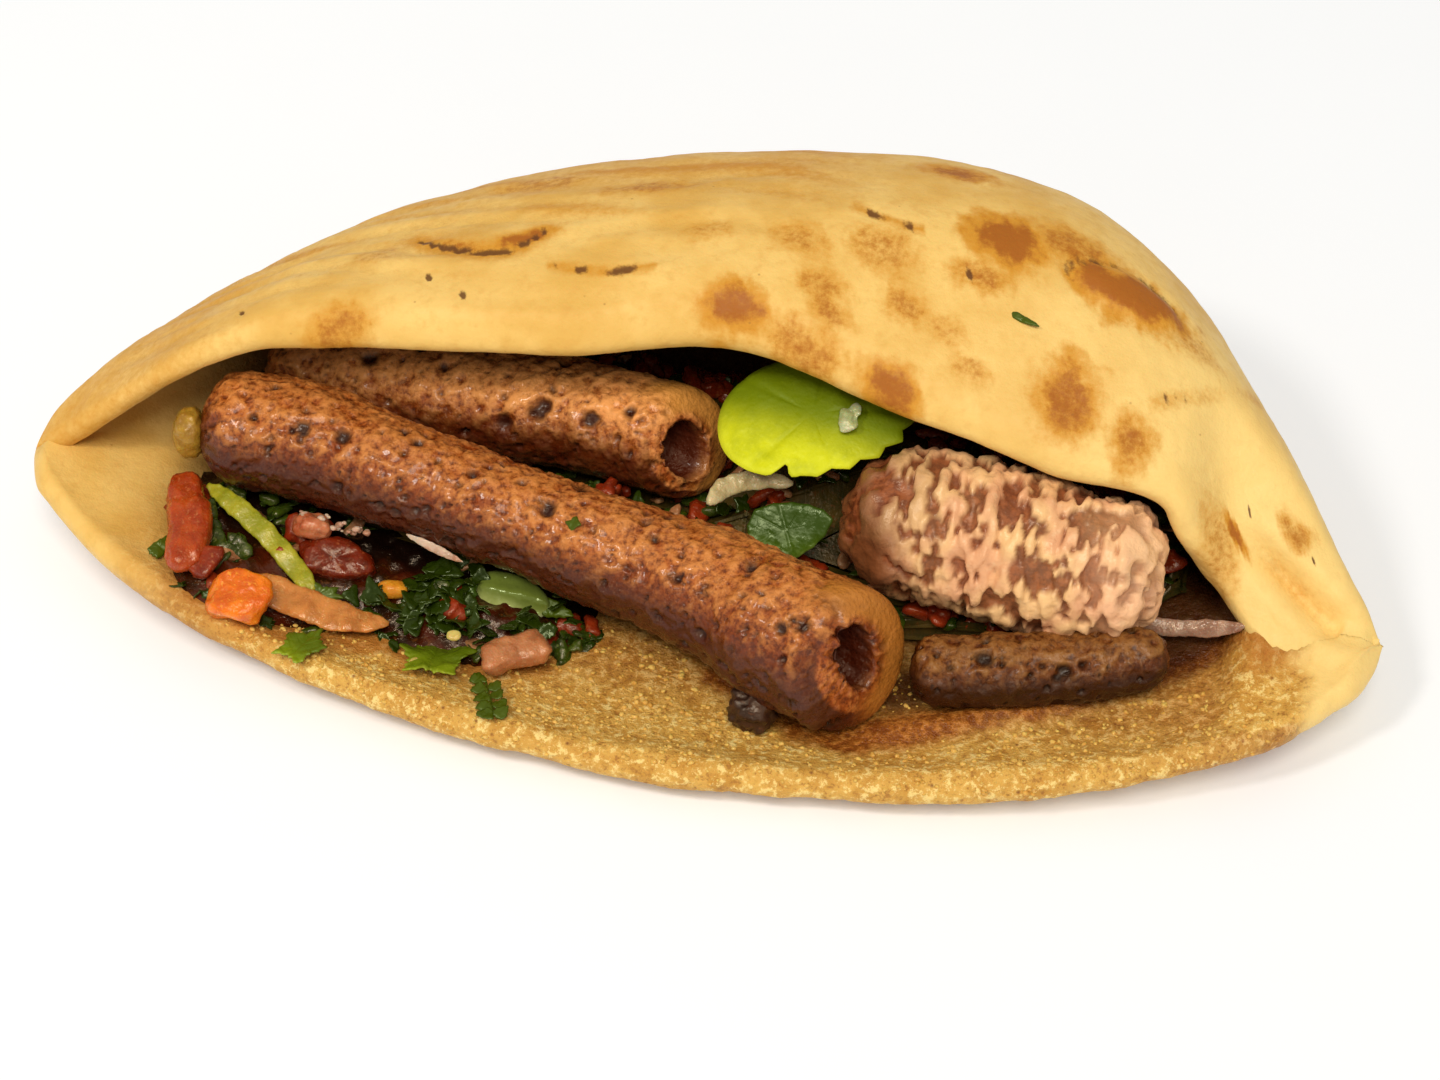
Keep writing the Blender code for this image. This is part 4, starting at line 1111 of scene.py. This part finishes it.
def turned(grid, turn=0.0, tip=0.0, roll=0.0):
    """The grid tipped about X, rolled about Y and then turned about Z."""
    for axis, angle in ((0, tip), (1, roll), (2, turn)):
        a, b = (axis + 1) % 3, (axis + 2) % 3
        c, s = math.cos(angle), math.sin(angle)
        moved = grid.copy()
        moved[..., a] = grid[..., a] * c - grid[..., b] * s
        moved[..., b] = grid[..., a] * s + grid[..., b] * c
        grid = moved
    return grid


def on_bread(x, y, lift):
    """The point this far above the bread as modelled."""
    start = in_frame([x, y, 30.0])
    hit = BREAD_TREE.ray_cast(Vector(start), Vector((0, 0, -1)))[0]
    return np.array([x, y, (hit.z / MM if hit else 0.0) + lift])


def skin_near(point):
    """The nearest point of the bread as modelled, and the direction out of it."""
    at, out, _, _ = BREAD_TREE.find_nearest(Vector(in_frame(point)))
    return np.array(at) / MM + (0, ORIGIN_Y, 0), np.array(out)


def tree_of(obj):
    mesh = obj.data
    points = [v.co for v in mesh.vertices]
    return BVHTree.FromPolygons(points, [tuple(f.vertices) for f in mesh.polygons])


def wet_paint(name, lit, deep, pale=None, shine=0.18, glow=0.2, size=3.0, shade=None):
    """Cut vegetable: two tones, a pale one in fine flecks, a wet coat and light that goes in a little way."""
    paint = Paint(name, Roughness=shine, Subsurface_Weight=glow, Subsurface_Scale=0.002, Coat_Weight=0.15,
                  Coat_Roughness=0.08, Specular_Tint=WARM_SHINE)
    paint.base = paint.mix(paint.step(paint.noise(size, 3, 0.6), 0.35, 0.65), lit, deep)
    if pale:
        paint.over(paint.step(paint.noise(size / 4, 3, 0.6), 0.55, 0.75, 0.0, 0.6), pale)
    if shade:
        paint.marked("shade", shade)
    paint.color(paint.base)
    paint.roughness(paint.step(paint.noise(1.5, 2), 0.3, 0.7, shine, shine + 0.16))
    paint.bump((paint.noise(1.0, 3, 0.6), 0.22), (paint.noise(0.4, 2), 0.05))
    return paint


def make_strip(name, slot, paint, path, width, thickness, flat=TOWARDS_OPEN, rough=0.25, **shape):
    grid = roughened(strip_grid(path, width, thickness, flat, **shape), rough, 1.6, len(name))
    piece(name, *closed_tube(grid), slot, [name], paint)


def make_chunk(name, slot, nodes, paint, middle, half, turn=0.0, tip=0.0, boxy=0.5, rough=0.3, seed=3,
               lumps=0.12):
    grid = roughened(chunk_grid(half, boxy, 30, 44, seed, lumps), rough, 1.5, seed)
    piece(name, *closed_tube(turned(grid, turn, tip) + middle), slot, nodes, paint)


def make_many(name, slot, paint, grids, **values):
    """Many small closed bodies as one piece over no solid."""
    piece(name, *joined([closed_tube(grid) for grid in grids]), slot, [], paint, **values)


# Cut vegetable: lit, deep and pale tones, roughness, and how much light goes in.
TONES = {
    "tomato_red": ((0.44, 0.062, 0.008), (0.30, 0.030, 0.004), (0.66, 0.22, 0.07), 0.14, 0.45),
    # A darker copy of the red tomato, painted shade for the piece that lies in shadow.
    "tomato_deep": ((0.18, 0.016, 0.003), (0.09, 0.008, 0.002), (0.44, 0.11, 0.03), 0.14, 0.3),
    "tomato_orange": ((0.82, 0.20, 0.008), (0.64, 0.11, 0.006), (1.0, 0.48, 0.05), 0.14, 0.4),
    "tomato_pink": ((0.54, 0.18, 0.075), (0.40, 0.08, 0.025), (0.72, 0.40, 0.24), 0.16, 0.4),
    "stalk": ((0.40, 0.36, 0.020), (0.26, 0.26, 0.010), (0.60, 0.56, 0.12), 0.24, 0.12),
    "green_pepper": ((0.035, 0.055, 0.003), (0.012, 0.024, 0.002), (0.20, 0.24, 0.05), 0.12, 0.1),
    "pickle": ((0.40, 0.22, 0.022), (0.26, 0.12, 0.010), (0.46, 0.32, 0.05), 0.26, 0.1),
    "onion": ((0.62, 0.50, 0.26), (0.44, 0.34, 0.15), (0.80, 0.74, 0.52), 0.16, 0.25),
    "onion_glassy": ((0.40, 0.24, 0.16), (0.26, 0.13, 0.08), (0.66, 0.52, 0.44), 0.12, 0.3),
    "onion_peach": ((0.62, 0.24, 0.055), (0.42, 0.14, 0.025), (0.76, 0.42, 0.14), 0.12, 0.4),
    "onion_rosy": ((0.52, 0.20, 0.075), (0.38, 0.13, 0.045), (0.64, 0.34, 0.18), 0.18, 0.4),
    "char": ((0.055, 0.022, 0.012), (0.025, 0.010, 0.006), (0.16, 0.05, 0.02), 0.3, 0.0),
}
# Pieces at the middle of their solids: slot, tones, half sizes, turn, tip, then make_chunk's last four.
TOMATOES = {
    "tomato_tall": ("tomato", "tomato_red", (3.6, 9.6, 2.9), 0.30, 0.26, 0.66, 0.35, 11, 0.5),
    "tomato_front": ("tomato", "tomato_orange", (5.2, 3.8, 2.7), -0.15, 0.4, 0.66, 0.3, 5, 0.4),
    # The middle piece takes the tomato tones darkened as painted shade.
    "tomato_mid": ("tomato", "tomato_deep", (6.2, 3.2, 3.1), 0.1, 0.4, 0.6, 0.3, 9, 0.35),
    "tomato_pink": ("tomato", "tomato_pink", (3.1, 2.2, 2.1), 0.2, 0.0, 0.8, 0.3, 3, 0.25),
}
ONION_AND_PICKLE = {
    "onion_pink": ("onion", "onion_rosy", (5.6, 3.5, 1.9), 0.45, 0.05, 0.66, 0.3, 6, 0.5),
    "pickle_slice": ("pickle", "pickle", (2.6, 3.6, 4.2), 0.25, 0.0, 0.85, 0.3, 8, 0.12),
}
NUB = {
    "kofta_nub": ("char", "char", (3.5, 3.2, 3.6), 0.0, 0.0, 0.9, 0.8, 4, 0.25),
}
# Strips: slot, tones, whether the path's heights are over the bread, the path, width, thickness, shape.
STRIPS = {
    "green_strip": (
        "stalk", "stalk", True,
        ((-79.6, -9.8, 6.6), (-73.7, -13.6, 7.6), (-67.2, -17.6, 7.0), (-61.8, -21.4, 5.8),
         (-57.6, -25.0, 4.6)),
        3.6, 1.1, dict(flat=(0.25, -0.55, 0.8), ends=(0.8, 1.0), rings=70, rough=0.22, wave=0.5)),
    "pepper_curl": (
        "green_pepper", "green_pepper", True,
        ((-77.8, -13.0, 7.0), (-77.2, -17.4, 5.6), (-73.6, -21.4, 4.6), (-69.8, -20.4, 4.2)),
        4.6, 1.4, {}),
    "onion_slice": (
        "onion", "onion_peach", True,
        ((-67.6, -25.4, 4.0), (-61.6, -27.0, 3.8), (-55.6, -28.0, 3.4), (-49.8, -28.2, 2.9),
         (-44.4, -27.0, 2.6)),
        6.2, 1.2, dict(flat=(0, -0.30, 0.95), ends=(0.8, 0.45), wave=0.6)),
    "onion_ring": (
        "onion", "onion", False,
        ((3.6, -6.2, 25.2), (5.6, -2.2, 26.0), (10.4, 0.4, 26.2), (16.0, 0.8, 26.0)),
        3.4, 1.5, dict(flat=(0.3, -0.6, 0.7), ends=(0.7, 0.7))),
    "onion_strip": (
        "onion", "onion_glassy", False,
        ((71.0, -5.4, 13.6), (77.0, -5.6, 12.4), (82.4, -5.4, 12.9), (87.4, -5.6, 14.2),
         (90.2, -6.0, 15.4)),
        3.4, 1.0, dict(ends=(0.6, 0.2))),
}


def make_chunks(chunks, paints):
    for name, (slot, tones, *shape) in chunks.items():
        make_chunk(name, slot, [name], paints[tones], placed(name), *shape)


def make_vegetables():
    paints = {name: wet_paint(name, *tones) for name, tones in TONES.items()}
    make_chunks(TOMATOES, paints)
    for name, (slot, tones, over_bread, path, width, thickness, shape) in STRIPS.items():
        path = [on_bread(*place) for place in path] if over_bread else path
        make_strip(name, slot, paints[tones], path, width, thickness, **shape)
    make_chunks(ONION_AND_PICKLE, paints)
    skin = leaf_paint("pepper_skin", (0.46, 0.50, 0.16), (0.13, 0.17, 0.024), (0.78, 0.78, 0.48), 0.08,
                      0.8, 0.7)
    make_leaf("pepper_slice", "green_pepper", skin, placed("pepper_slice"), (0.97, -0.1, -0.05),
              (0.0, 0.8, 0.6), (7.6, 4.2), toothed(2, 0.10), pepper_fold, 1.3)
    make_chunks(NUB, paints)


def pepper_fold(u, v, share):
    return 0.7 * ripples(u, v, 4.0, 61) - 0.03 * u * u + 0.8 * bell(v, 0.6, 1.2)


# ---- chopped salad

# Lit, deep and pale tones, half sizes, how many in the heap and how many spilt on the bread.
HEAP_KINDS = {
    "salad_tomato": (
        (0.30, 0.030, 0.005), (0.16, 0.012, 0.003), (0.50, 0.15, 0.04), (2.4, 1.9, 1.3), 150, 22),
    "salad_onion": (
        (0.46, 0.22, 0.09), (0.30, 0.11, 0.04), (0.62, 0.42, 0.24), (2.6, 1.2, 0.6), 110, 12),
    "salad_pepper": (
        (0.050, 0.075, 0.004), (0.015, 0.030, 0.002), (0.17, 0.22, 0.04), (2.0, 1.4, 0.7), 110, 30),
}
HEAP_DRAWN_IN = 0.9
HERB_HALF = (2.4, 1.9)
HERBS_IN_HEAP, HERBS_SPILT, HERBS_MASSED = 200, 80, 120
# The spilt salad: place along, then how far forward it reaches on the bread.
SPILL_FRONT = np.array((
    (-85, -22), (-78, -30.5), (-70, -34), (-60, -31), (-48, -28), (-36, -32), (-24, -29.5), (-12, -20),
), float)
SPILL_LEFT, SPILL_RIGHT = SPILL_FRONT[0, 0], SPILL_FRONT[-1, 0]
HERB_MASS, HERB_MASS_SPREAD = (-37.0, -22.0), (7.5, 3.4)
PULP_HEIGHT = 4.2
PULP_COLUMNS, PULP_ROWS, PULP_SUNK = 130, 34, 0.8
# No chopped bits lie over these places, where named pieces or the dark gap show: x, y and radius.
KEPT_CLEAR = (
    (-27.4, -18.5, 6.5), (-23.4, -28.9, 6.0), (-60, -26.8, 4.5), (-52, -27.8, 4.5), (-67, -26.5, 6.0),
    (-36.5, -31.0, 7.0), (-54.5, -19.0, 6.5), (-45.2, -21.6, 3.5), (-46.5, -16.0, 7.0), (-83, -20, 9.0),
    (-69, -16.5, 4.0), (-62, -21, 4.0), (-75, -15, 4.5),
)


def heap_core(paint):
    """The salad's core: the solid heap drawn in a little, with relief on it."""
    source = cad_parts["salad"]
    points = np.array([v.co for v in source.data.vertices]) / MM + (0, ORIGIN_Y, 0)
    normals = np.array([v.normal for v in source.data.vertices])
    mesh_faces = [list(f.vertices) for f in source.data.polygons]
    core = piece("salad_core", points - normals * HEAP_DRAWN_IN, mesh_faces, "salad", ["salad"], paint)
    finer = core.modifiers.new("finer", "SUBSURF")
    finer.subdivision_type, finer.levels, finer.render_levels = "SIMPLE", 2, 2


def spill_front(x):
    """How far forward the spilt salad reaches here."""
    return np.interp(x, *SPILL_FRONT.T)


def pulp_height(x, y):
    """How deep the wet pulp lies on the bread here."""
    ends = smoothstep(SPILL_LEFT, SPILL_LEFT + 9, x) * (1 - smoothstep(SPILL_RIGHT - 14, SPILL_RIGHT, x))
    return PULP_HEIGHT * smoothstep(0.0, 9.0, y - spill_front(x)) * ends


def make_pulp():
    """The wet pulp under and between the cut pieces, from the spill's front to under the front kofta. Its
    near-black tones are partly painted shade, darkened further towards the kofta.
    """
    axis = np.array(KOFTA_FRONT)
    rings = []
    for x in np.linspace(SPILL_LEFT + 0.5, SPILL_RIGHT - 0.5, PULP_COLUMNS):
        y = np.linspace(spill_front(x), np.interp(x, axis[:, 0], axis[:, 1]) + 3.0, PULP_ROWS)
        bread = np.array([on_bread(x, each, 0.0) for each in y])
        lumps = 0.75 * noise(bread, 3.6, 91) + 0.4 * noise(bread, 1.7, 92)
        deep = pulp_height(x, y)
        rise = deep * (1 + 0.3 * lumps) + 0.35 * lumps * smoothstep(0, 1.5, deep) - 0.15
        rings.append(np.vstack([bread + (0, 0, 1) * rise[:, None], (bread - (0, 0, PULP_SUNK))[::-1]]))
    # Painted shade: the pulp's near-black tones, and its shade value darkening it further towards the kofta.
    paint = wet_paint("pulp", (0.075, 0.010, 0.002), (0.018, 0.006, 0.001), (0.17, 0.05, 0.008), 0.12, 0.0,
                      4.5, (0.006, 0.002, 0.001))
    shade = np.concatenate([smoothstep(14, 21, np.arange(PULP_ROWS)), np.ones(PULP_ROWS)])
    piece("salad_pulp", *closed_tube(np.array(rings)), "salad", [], paint, shade=np.tile(shade, PULP_COLUMNS))


def clear_of_rolls(at):
    """Distance from the point to the nearest roll's surface."""
    rolls = (curve(axis, np.linspace(0, 1, 60)) for axis in (KOFTA_FRONT, KOFTA_BACK, KOFTA_RIGHT, FAT_ROLL))
    return min((np.linalg.norm(roll[:, :3] - at, axis=1) - roll[:, 3]).min() for roll in rolls)


def kept_clear(x, y, share=1.0):
    """Whether the place lies within this share of a radius that is kept clear."""
    return any(math.hypot(x - a, y - b) < share * radius for a, b, radius in KEPT_CLEAR)


def heap_places(rng, count, tree):
    """Random points on the heap's upper side that no roll covers, with the normal there."""
    low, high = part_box("salad")
    found = []
    while len(found) < count:
        x, y = rng.uniform(low.x, high.x), rng.uniform(low.y, high.y)
        hit, normal, _, _ = tree.ray_cast(Vector((x, y, high.z + 0.01)), Vector((0, 0, -1)))
        if hit is None:
            continue
        at = np.array(hit) / MM + (0, ORIGIN_Y, 0)
        if clear_of_rolls(at) > 1.0:
            found.append((at, np.array(normal)))
    return found


def spill_places(rng, count):
    """Random points on the bread in front of the front kofta's left half, thicker towards the kofta."""
    found = []
    while len(found) < count:
        x = SPILL_LEFT + (SPILL_RIGHT - SPILL_LEFT) * rng.random() ** 1.7
        behind = np.interp(x, [row[0] for row in KOFTA_FRONT], [row[1] - 2.0 for row in KOFTA_FRONT])
        y = behind + (spill_front(x) - behind) * rng.random() ** 0.9
        at = on_bread(x, y, pulp_height(x, y) + rng.uniform(-0.3, 0.7))
        if clear_of_rolls(at) > 1.0 and not kept_clear(x, y):
            found.append((at, np.array([0.0, 0.0, 1.0])))
    return found


def mass_places(rng, count):
    """Random points in the dark tuft of herbs under the front kofta."""
    found = []
    while len(found) < count:
        x, y = (rng.normal(*each) for each in zip(HERB_MASS, HERB_MASS_SPREAD))
        at = on_bread(x, y, rng.uniform(2.0, 6.0) * smoothstep(-31, -24, y) + 0.6)
        if clear_of_rolls(at) > 0.8 and not kept_clear(x, y, 0.8):
            found.append((at, np.array([0.0, -0.4, 0.9])))
    return found


def herb_leaf(rng, at, size):
    """A small torn leaf, lying at a random lean."""
    turn, lean, roll = rng.uniform(0, 6.3), rng.uniform(-0.7, 0.7), rng.uniform(-0.7, 0.7)
    across, along = turned(np.array([[1.0, 0, 0], [0, 1.0, 0]]), turn, lean, roll)
    lobes = int(rng.integers(2, 5))
    edge = toothed(lobes, 0.42, 4 * lobes + 1, 0.16, rng.uniform(0, 3))
    lift = crumpled(rng.uniform(-0.06, 0.06), 0.7, 2.2, int(rng.integers(500)), 0.1)
    return leaf_body(at, across, along, np.array(HERB_HALF) * size, edge, lift, 0.35, rings=6, steps=26)


def make_salad():
    rng = np.random.default_rng(12)
    tree = tree_of(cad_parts["salad"])
    heap_core(wet_paint("salad", (0.080, 0.050, 0.008), (0.030, 0.030, 0.005), (0.22, 0.06, 0.012), 0.3, 0.0))
    for name, (*tones, half, heaped, spilt) in HEAP_KINDS.items():
        grids = []
        for at, normal in heap_places(rng, heaped, tree) + spill_places(rng, spilt):
            size = rng.uniform(0.6, 1.15)
            shape = np.array(half) * size * rng.uniform(0.7, 1.3, 3)
            grid = chunk_grid(shape, rng.uniform(0.5, 0.9), 11, 14, int(rng.integers(1000)), 0.6)
            grid = turned(grid, rng.uniform(0, 6.3), rng.uniform(-0.6, 0.6), rng.uniform(-0.6, 0.6))
            grids.append(grid + at + normal * half[2] * rng.uniform(-0.3, 0.9))
        make_many(name, "salad", wet_paint(name, *tones, 0.2, 0.1), grids)
    on_heap = heap_places(rng, HERBS_IN_HEAP, tree)
    places = [(at + normal * 0.8, rng.uniform(0.7, 1.2)) for at, normal in on_heap]
    places += [(at, rng.uniform(0.45, 0.95)) for at, _ in spill_places(rng, HERBS_SPILT)]
    places += [(at, rng.uniform(0.8, 1.5)) for at, _ in mass_places(rng, HERBS_MASSED)]
    leaves = [herb_leaf(rng, at, size) for at, size in places]
    share = np.concatenate([extended(share) for _, share in leaves])
    herbs = leaf_paint("salad_herb", (0.070, 0.110, 0.004), (0.014, 0.026, 0.001), (0.26, 0.30, 0.02), 0.22,
                       0.25)
    make_many("salad_herb", "herb", herbs, [grid for grid, _ in leaves], share=share, back=0.0)


# ---- loose things

PALE_SEEDS = ((-33.2, -28.5, 4.4), (-66.0, -29.5, 3.4), (-38.0, -34.4, 1.6))
SPRIG_STEM = ((-27.0, -33.0, 1.2), (-25.4, -37.4, 1.0), (-23.6, -41.4, 0.9), (-22.4, -44.6, 0.7))
SPRIG_LEAFLETS = 9
# Beads of fat along a line under the front kofta's left end, pale enough to stand as painted glints, then a
# film of it under the middle.
BEADS, BEAD_HALF = 30, (1.3, 1.0, 0.9)
BEADS_FROM, BEADS_TO = np.array((-63.0, -14.2, 18.2)), np.array((-51.0, -15.0, 16.6))
FAT_FILM = ((-44.0, -16.0, 18.6), (-40.6, -17.2, 18.3), (-37.2, -18.2, 17.8), (-33.8, -19.2, 17.4))
# Grains of crumb: how many, their half sizes, where along and across, and how high the ledge may be there.
CRUMBS, CRUMB_HALF = 1500, (0.42, 0.34, 0.24)
CRUMBS_ALONG, CRUMBS_ACROSS, CRUMBS_HIGH = (-70, 96), (-50, -16), (1, 20)
CLEAR_OF_SOAKED = 4.5


def make_seeds():
    gold = wet_paint("seed", (0.74, 0.30, 0.02), (0.60, 0.20, 0.012), (0.86, 0.52, 0.09), 0.14, 0.3)
    make_chunk("seed_orange", "tomato", [], gold, on_bread(-45.2, -21.8, 5.2), (2.5, 1.6, 1.5), 0.2, boxy=0.9,
               rough=0.1)
    pale = wet_paint("seed_pale", (0.66, 0.52, 0.14), (0.52, 0.36, 0.08), None, 0.14, 0.3)
    make_many("seeds", "tomato", pale, [
        turned(chunk_grid((1.2, 1.0, 0.5), 0.9, 14, 18, k), 0.7 * k, 0.3) + on_bread(*spot)
        for k, spot in enumerate(PALE_SEEDS)
    ])


def make_sprig(paint):
    """A parsley sprig hanging over the rim: a thin stem with small leaflets on both sides."""
    stem = [on_bread(*place) for place in SPRIG_STEM]
    grids = [strip_grid(stem, 0.8, 0.8, (0, 0, 1), rings=24, sides=8)]
    for k, at in enumerate(curve(stem, np.linspace(0.1, 1, SPRIG_LEAFLETS))):
        side = 1 if k % 2 else -1
        grid, _ = leaf_body(at + (1.2 * side, 0, 0.5), (0.9, 0.35 * side, 0.1), (0.35 * side, 0.9, 0.0),
                            (1.9, 1.5), toothed(3, 0.3, 9, 0.1, k), crumpled(0.0, 0.5, 1.8, k), 0.35, 6, 30)
        grids.append(grid)
    make_many("parsley_sprig", "herb", paint, grids, share=0.0, back=0.0)


def make_flecks(paint):
    """Flecks on the flap and kofta, the green strip's frilly end, a dark leaf and a bright bit."""
    flap_spot, flap_up = skin_near((49.5, 14.5, 54.6))
    flap_along = (0.93, -0.35, -0.10)
    # middle, across, along, half sizes, then the outline's lobes and teeth
    leaves = (
        (flap_spot + flap_up * 0.4, flap_along, np.cross(flap_up, flap_along), (2.9, 0.7), (3, 0.2)),
        ((-15.5, -18.6, 28.6), (0.8, -0.3, 0.2), (0.2, 0.8, 0.5), (1.6, 1.3), (4, 0.3)),
        (on_bread(-56.6, -25.0, 4.2), (1.0, 0.1, -0.1), (0.0, 0.85, 0.5), (5.4, 2.2), (7, 0.35, 19, 0.12)),
        (on_bread(-84.4, -21.6, 1.6), (0.3, 0.9, 0.1), (-0.8, 0.2, 0.5), (3.2, 1.6), (3, 0.3, 11, 0.1)),
        (on_bread(-19.4, -17.6, 4.0), (0.95, -0.2, 0.0), (0.2, 0.8, 0.6), (3.6, 1.9), (3, 0.3, 11, 0.1)),
    )
    make_many("herb_flecks", "herb", paint, [
        leaf_body(*leaf, toothed(*edge), crumpled(0, 0.4, 1.6, seed), 0.45, rings=7, steps=60)[0]
        for seed, (*leaf, edge) in enumerate(leaves)
    ], share=0.0, back=0.0)


def make_fat_beads():
    """Beads and a thin film of fat along the underside of the front kofta, the pale beads also standing as
    painted glints.
    """
    rng = np.random.default_rng(5)
    # Painted highlight: the pale, near-white tones make the beads read as glints.
    fat = wet_paint("fat_beads_and_painted_glints", (0.62, 0.42, 0.30), (0.40, 0.18, 0.10), (0.86, 0.78, 0.68), 0.08, 0.3)
    grids = []
    for share in rng.random(BEADS):
        half = np.array(BEAD_HALF) * rng.uniform(0.2, 0.55)
        grid = chunk_grid(half, 0.9, 9, 12, int(rng.integers(99)), 0.3)
        grids.append(grid + (BEADS_FROM * (1 - share) + BEADS_TO * share) + rng.normal(0, 0.6, 3))
    grids.append(roughened(strip_grid(FAT_FILM, 1.7, 0.4, (0.1, -0.8, 0.6), wave=0.3), 0.12, 1.2, 6))
    make_many("fat_beads_and_painted_glints", "fat_wrap", fat, grids)


def make_crumbs():
    """Loose grains of the torn crumb, scattered over the ledge."""
    rng = np.random.default_rng(8)
    grids = []
    soaked = np.array(SOAKED)[:, :2]
    lowest, highest = CRUMBS_HIGH
    while len(grids) < CRUMBS:
        at = on_bread(rng.uniform(*CRUMBS_ALONG), rng.uniform(*CRUMBS_ACROSS), 0.0)
        wet = near_line(at[None, :2], soaked)[0][0] < CLEAR_OF_SOAKED
        if at[2] > highest or at[2] < lowest or wet or clear_of_rolls(at) < 1.0:
            continue
        half = np.array(CRUMB_HALF) * rng.uniform(0.4, 1.3) ** 1.5
        grid = chunk_grid(half, 0.9, 5, 7, int(rng.integers(999)), 0.5)
        grids.append(turned(grid, rng.uniform(0, 6.3), rng.uniform(-0.5, 0.5)) + at)
    paint = wet_paint("crumbs", (0.80, 0.48, 0.11), (0.62, 0.31, 0.05), (0.92, 0.66, 0.24), 0.5, 0.2)
    make_many("crumbs", "bread", paint, grids)


# ---- stage

AZIMUTH, ELEVATION = 12.0, 42.0
DISTANCE, LENS, SENSOR = 0.55, 85.0, 36.0
AIM = Vector((0.005, -0.013, 0.016))
WORLD_COLOR, WORLD_STRENGTH = (1.0, 0.965, 0.90, 1.0), 0.42
FLOOR_REACH = 8.0
FLOOR_TONES = (0.90, 0.925, 0.96), (0.885, 0.91, 0.945)


def looking(name, data, azimuth, elevation, distance=0.0):
    """A light or camera that looks at the aim point from this side."""
    a, e = math.radians(azimuth), math.radians(elevation)
    back = Vector((math.sin(a) * math.cos(e), -math.cos(a) * math.cos(e), math.sin(e)))
    made = linked(name, data)
    made.location = AIM + back * distance
    made.rotation_euler = back.to_track_quat("Z", "Y").to_euler()
    return made


def make_camera():
    data = bpy.data.cameras.new("camera")
    data.lens, data.sensor_width, data.clip_start = LENS, SENSOR, 0.01
    bpy.context.scene.camera = looking("camera", data, AZIMUTH, ELEVATION, DISTANCE)


def make_light(name, azimuth, elevation, distance, size, power, color):
    data = bpy.data.lights.new(name, "AREA")
    data.shape, data.size, data.energy, data.color = "DISK", size, power, color
    looking(name, data, azimuth, elevation, distance)


def make_sun(name, azimuth, elevation, spread, power, color):
    """A wide, soft light that is equally strong everywhere, so that the floor stays even."""
    data = bpy.data.lights.new(name, "SUN")
    data.angle, data.energy, data.color = math.radians(spread), power, color
    looking(name, data, azimuth, elevation)


def make_stage():
    world = bpy.data.worlds.new("studio")
    world.use_nodes = True
    sky = world.node_tree.nodes["Background"]
    sky.inputs["Color"].default_value = WORLD_COLOR
    sky.inputs["Strength"].default_value = WORLD_STRENGTH
    bpy.context.scene.world = world
    bpy.context.scene.view_settings.view_transform = "Standard"
    make_sun("key", 14, 56, 26, 1.80, (1.0, 0.94, 0.84))
    make_light("fill", -38, 52, 1.0, 0.16, 2.6, (1.0, 0.95, 0.88))

    corners = [(x * FLOOR_REACH, y * FLOOR_REACH, 0) for x, y in ((-1, -1), (1, -1), (1, 1), (-1, 1))]
    mesh = bpy.data.meshes.new("floor")
    mesh.from_pydata(corners, [], [(0, 1, 2, 3)])
    paper = Paint("floor", Roughness=0.7, Emission_Color=(0.55, 0.72, 1.0, 1.0), Emission_Strength=0.10)
    paper.color(paper.mix(paper.noise(40, 2), *FLOOR_TONES))
    mesh.materials.append(paper.material)
    floor = linked("floor", mesh)


# ---- the whole

make_stage()
make_camera()
BREAD_TREE = tree_of(make_bread(bread_paint()))
make_kofta("kofta_front", KOFTA_FRONT, 200, 150, kofta_paint("kofta", 0.05, (0.92, 0.78, 0.62)), 3,
           (3.0, 6.0), 190, forward=0.2, raised=2.6, left_dome=7.0, right_dome=3.0, slant=0.42)
make_kofta("kofta_back", KOFTA_BACK, 140, 130, kofta_paint("kofta_lighter", 0.25, (1.3, 1.25, 1.2)), 70,
           (4.0, 5.2), 80, forward=1.6, raised=0.6, folds=5, left_dome=7.0, right_dome=3.0, slant=0.55)
# The right kofta's darker tone is partly its own duller colour and partly painted shade of the pocket it lies
# in.
make_kofta("kofta_right", KOFTA_RIGHT, 90, 90, kofta_paint("kofta_darker_with_painted_shade", 0.05, (0.40, 0.38, 0.30), 0.08),
           120, folds=3, left_dome=3.5, right_dome=5.0, pits=30)
make_fat_roll(fat_paint())
make_greens()
make_vegetables()
make_salad()
make_pulp()
make_seeds()
herb_paint = leaf_paint("herb_fleck", (0.13, 0.17, 0.004), (0.050, 0.075, 0.002), (0.28, 0.32, 0.02))
make_sprig(herb_paint)
make_flecks(herb_paint)
make_fat_beads()
make_crumbs()
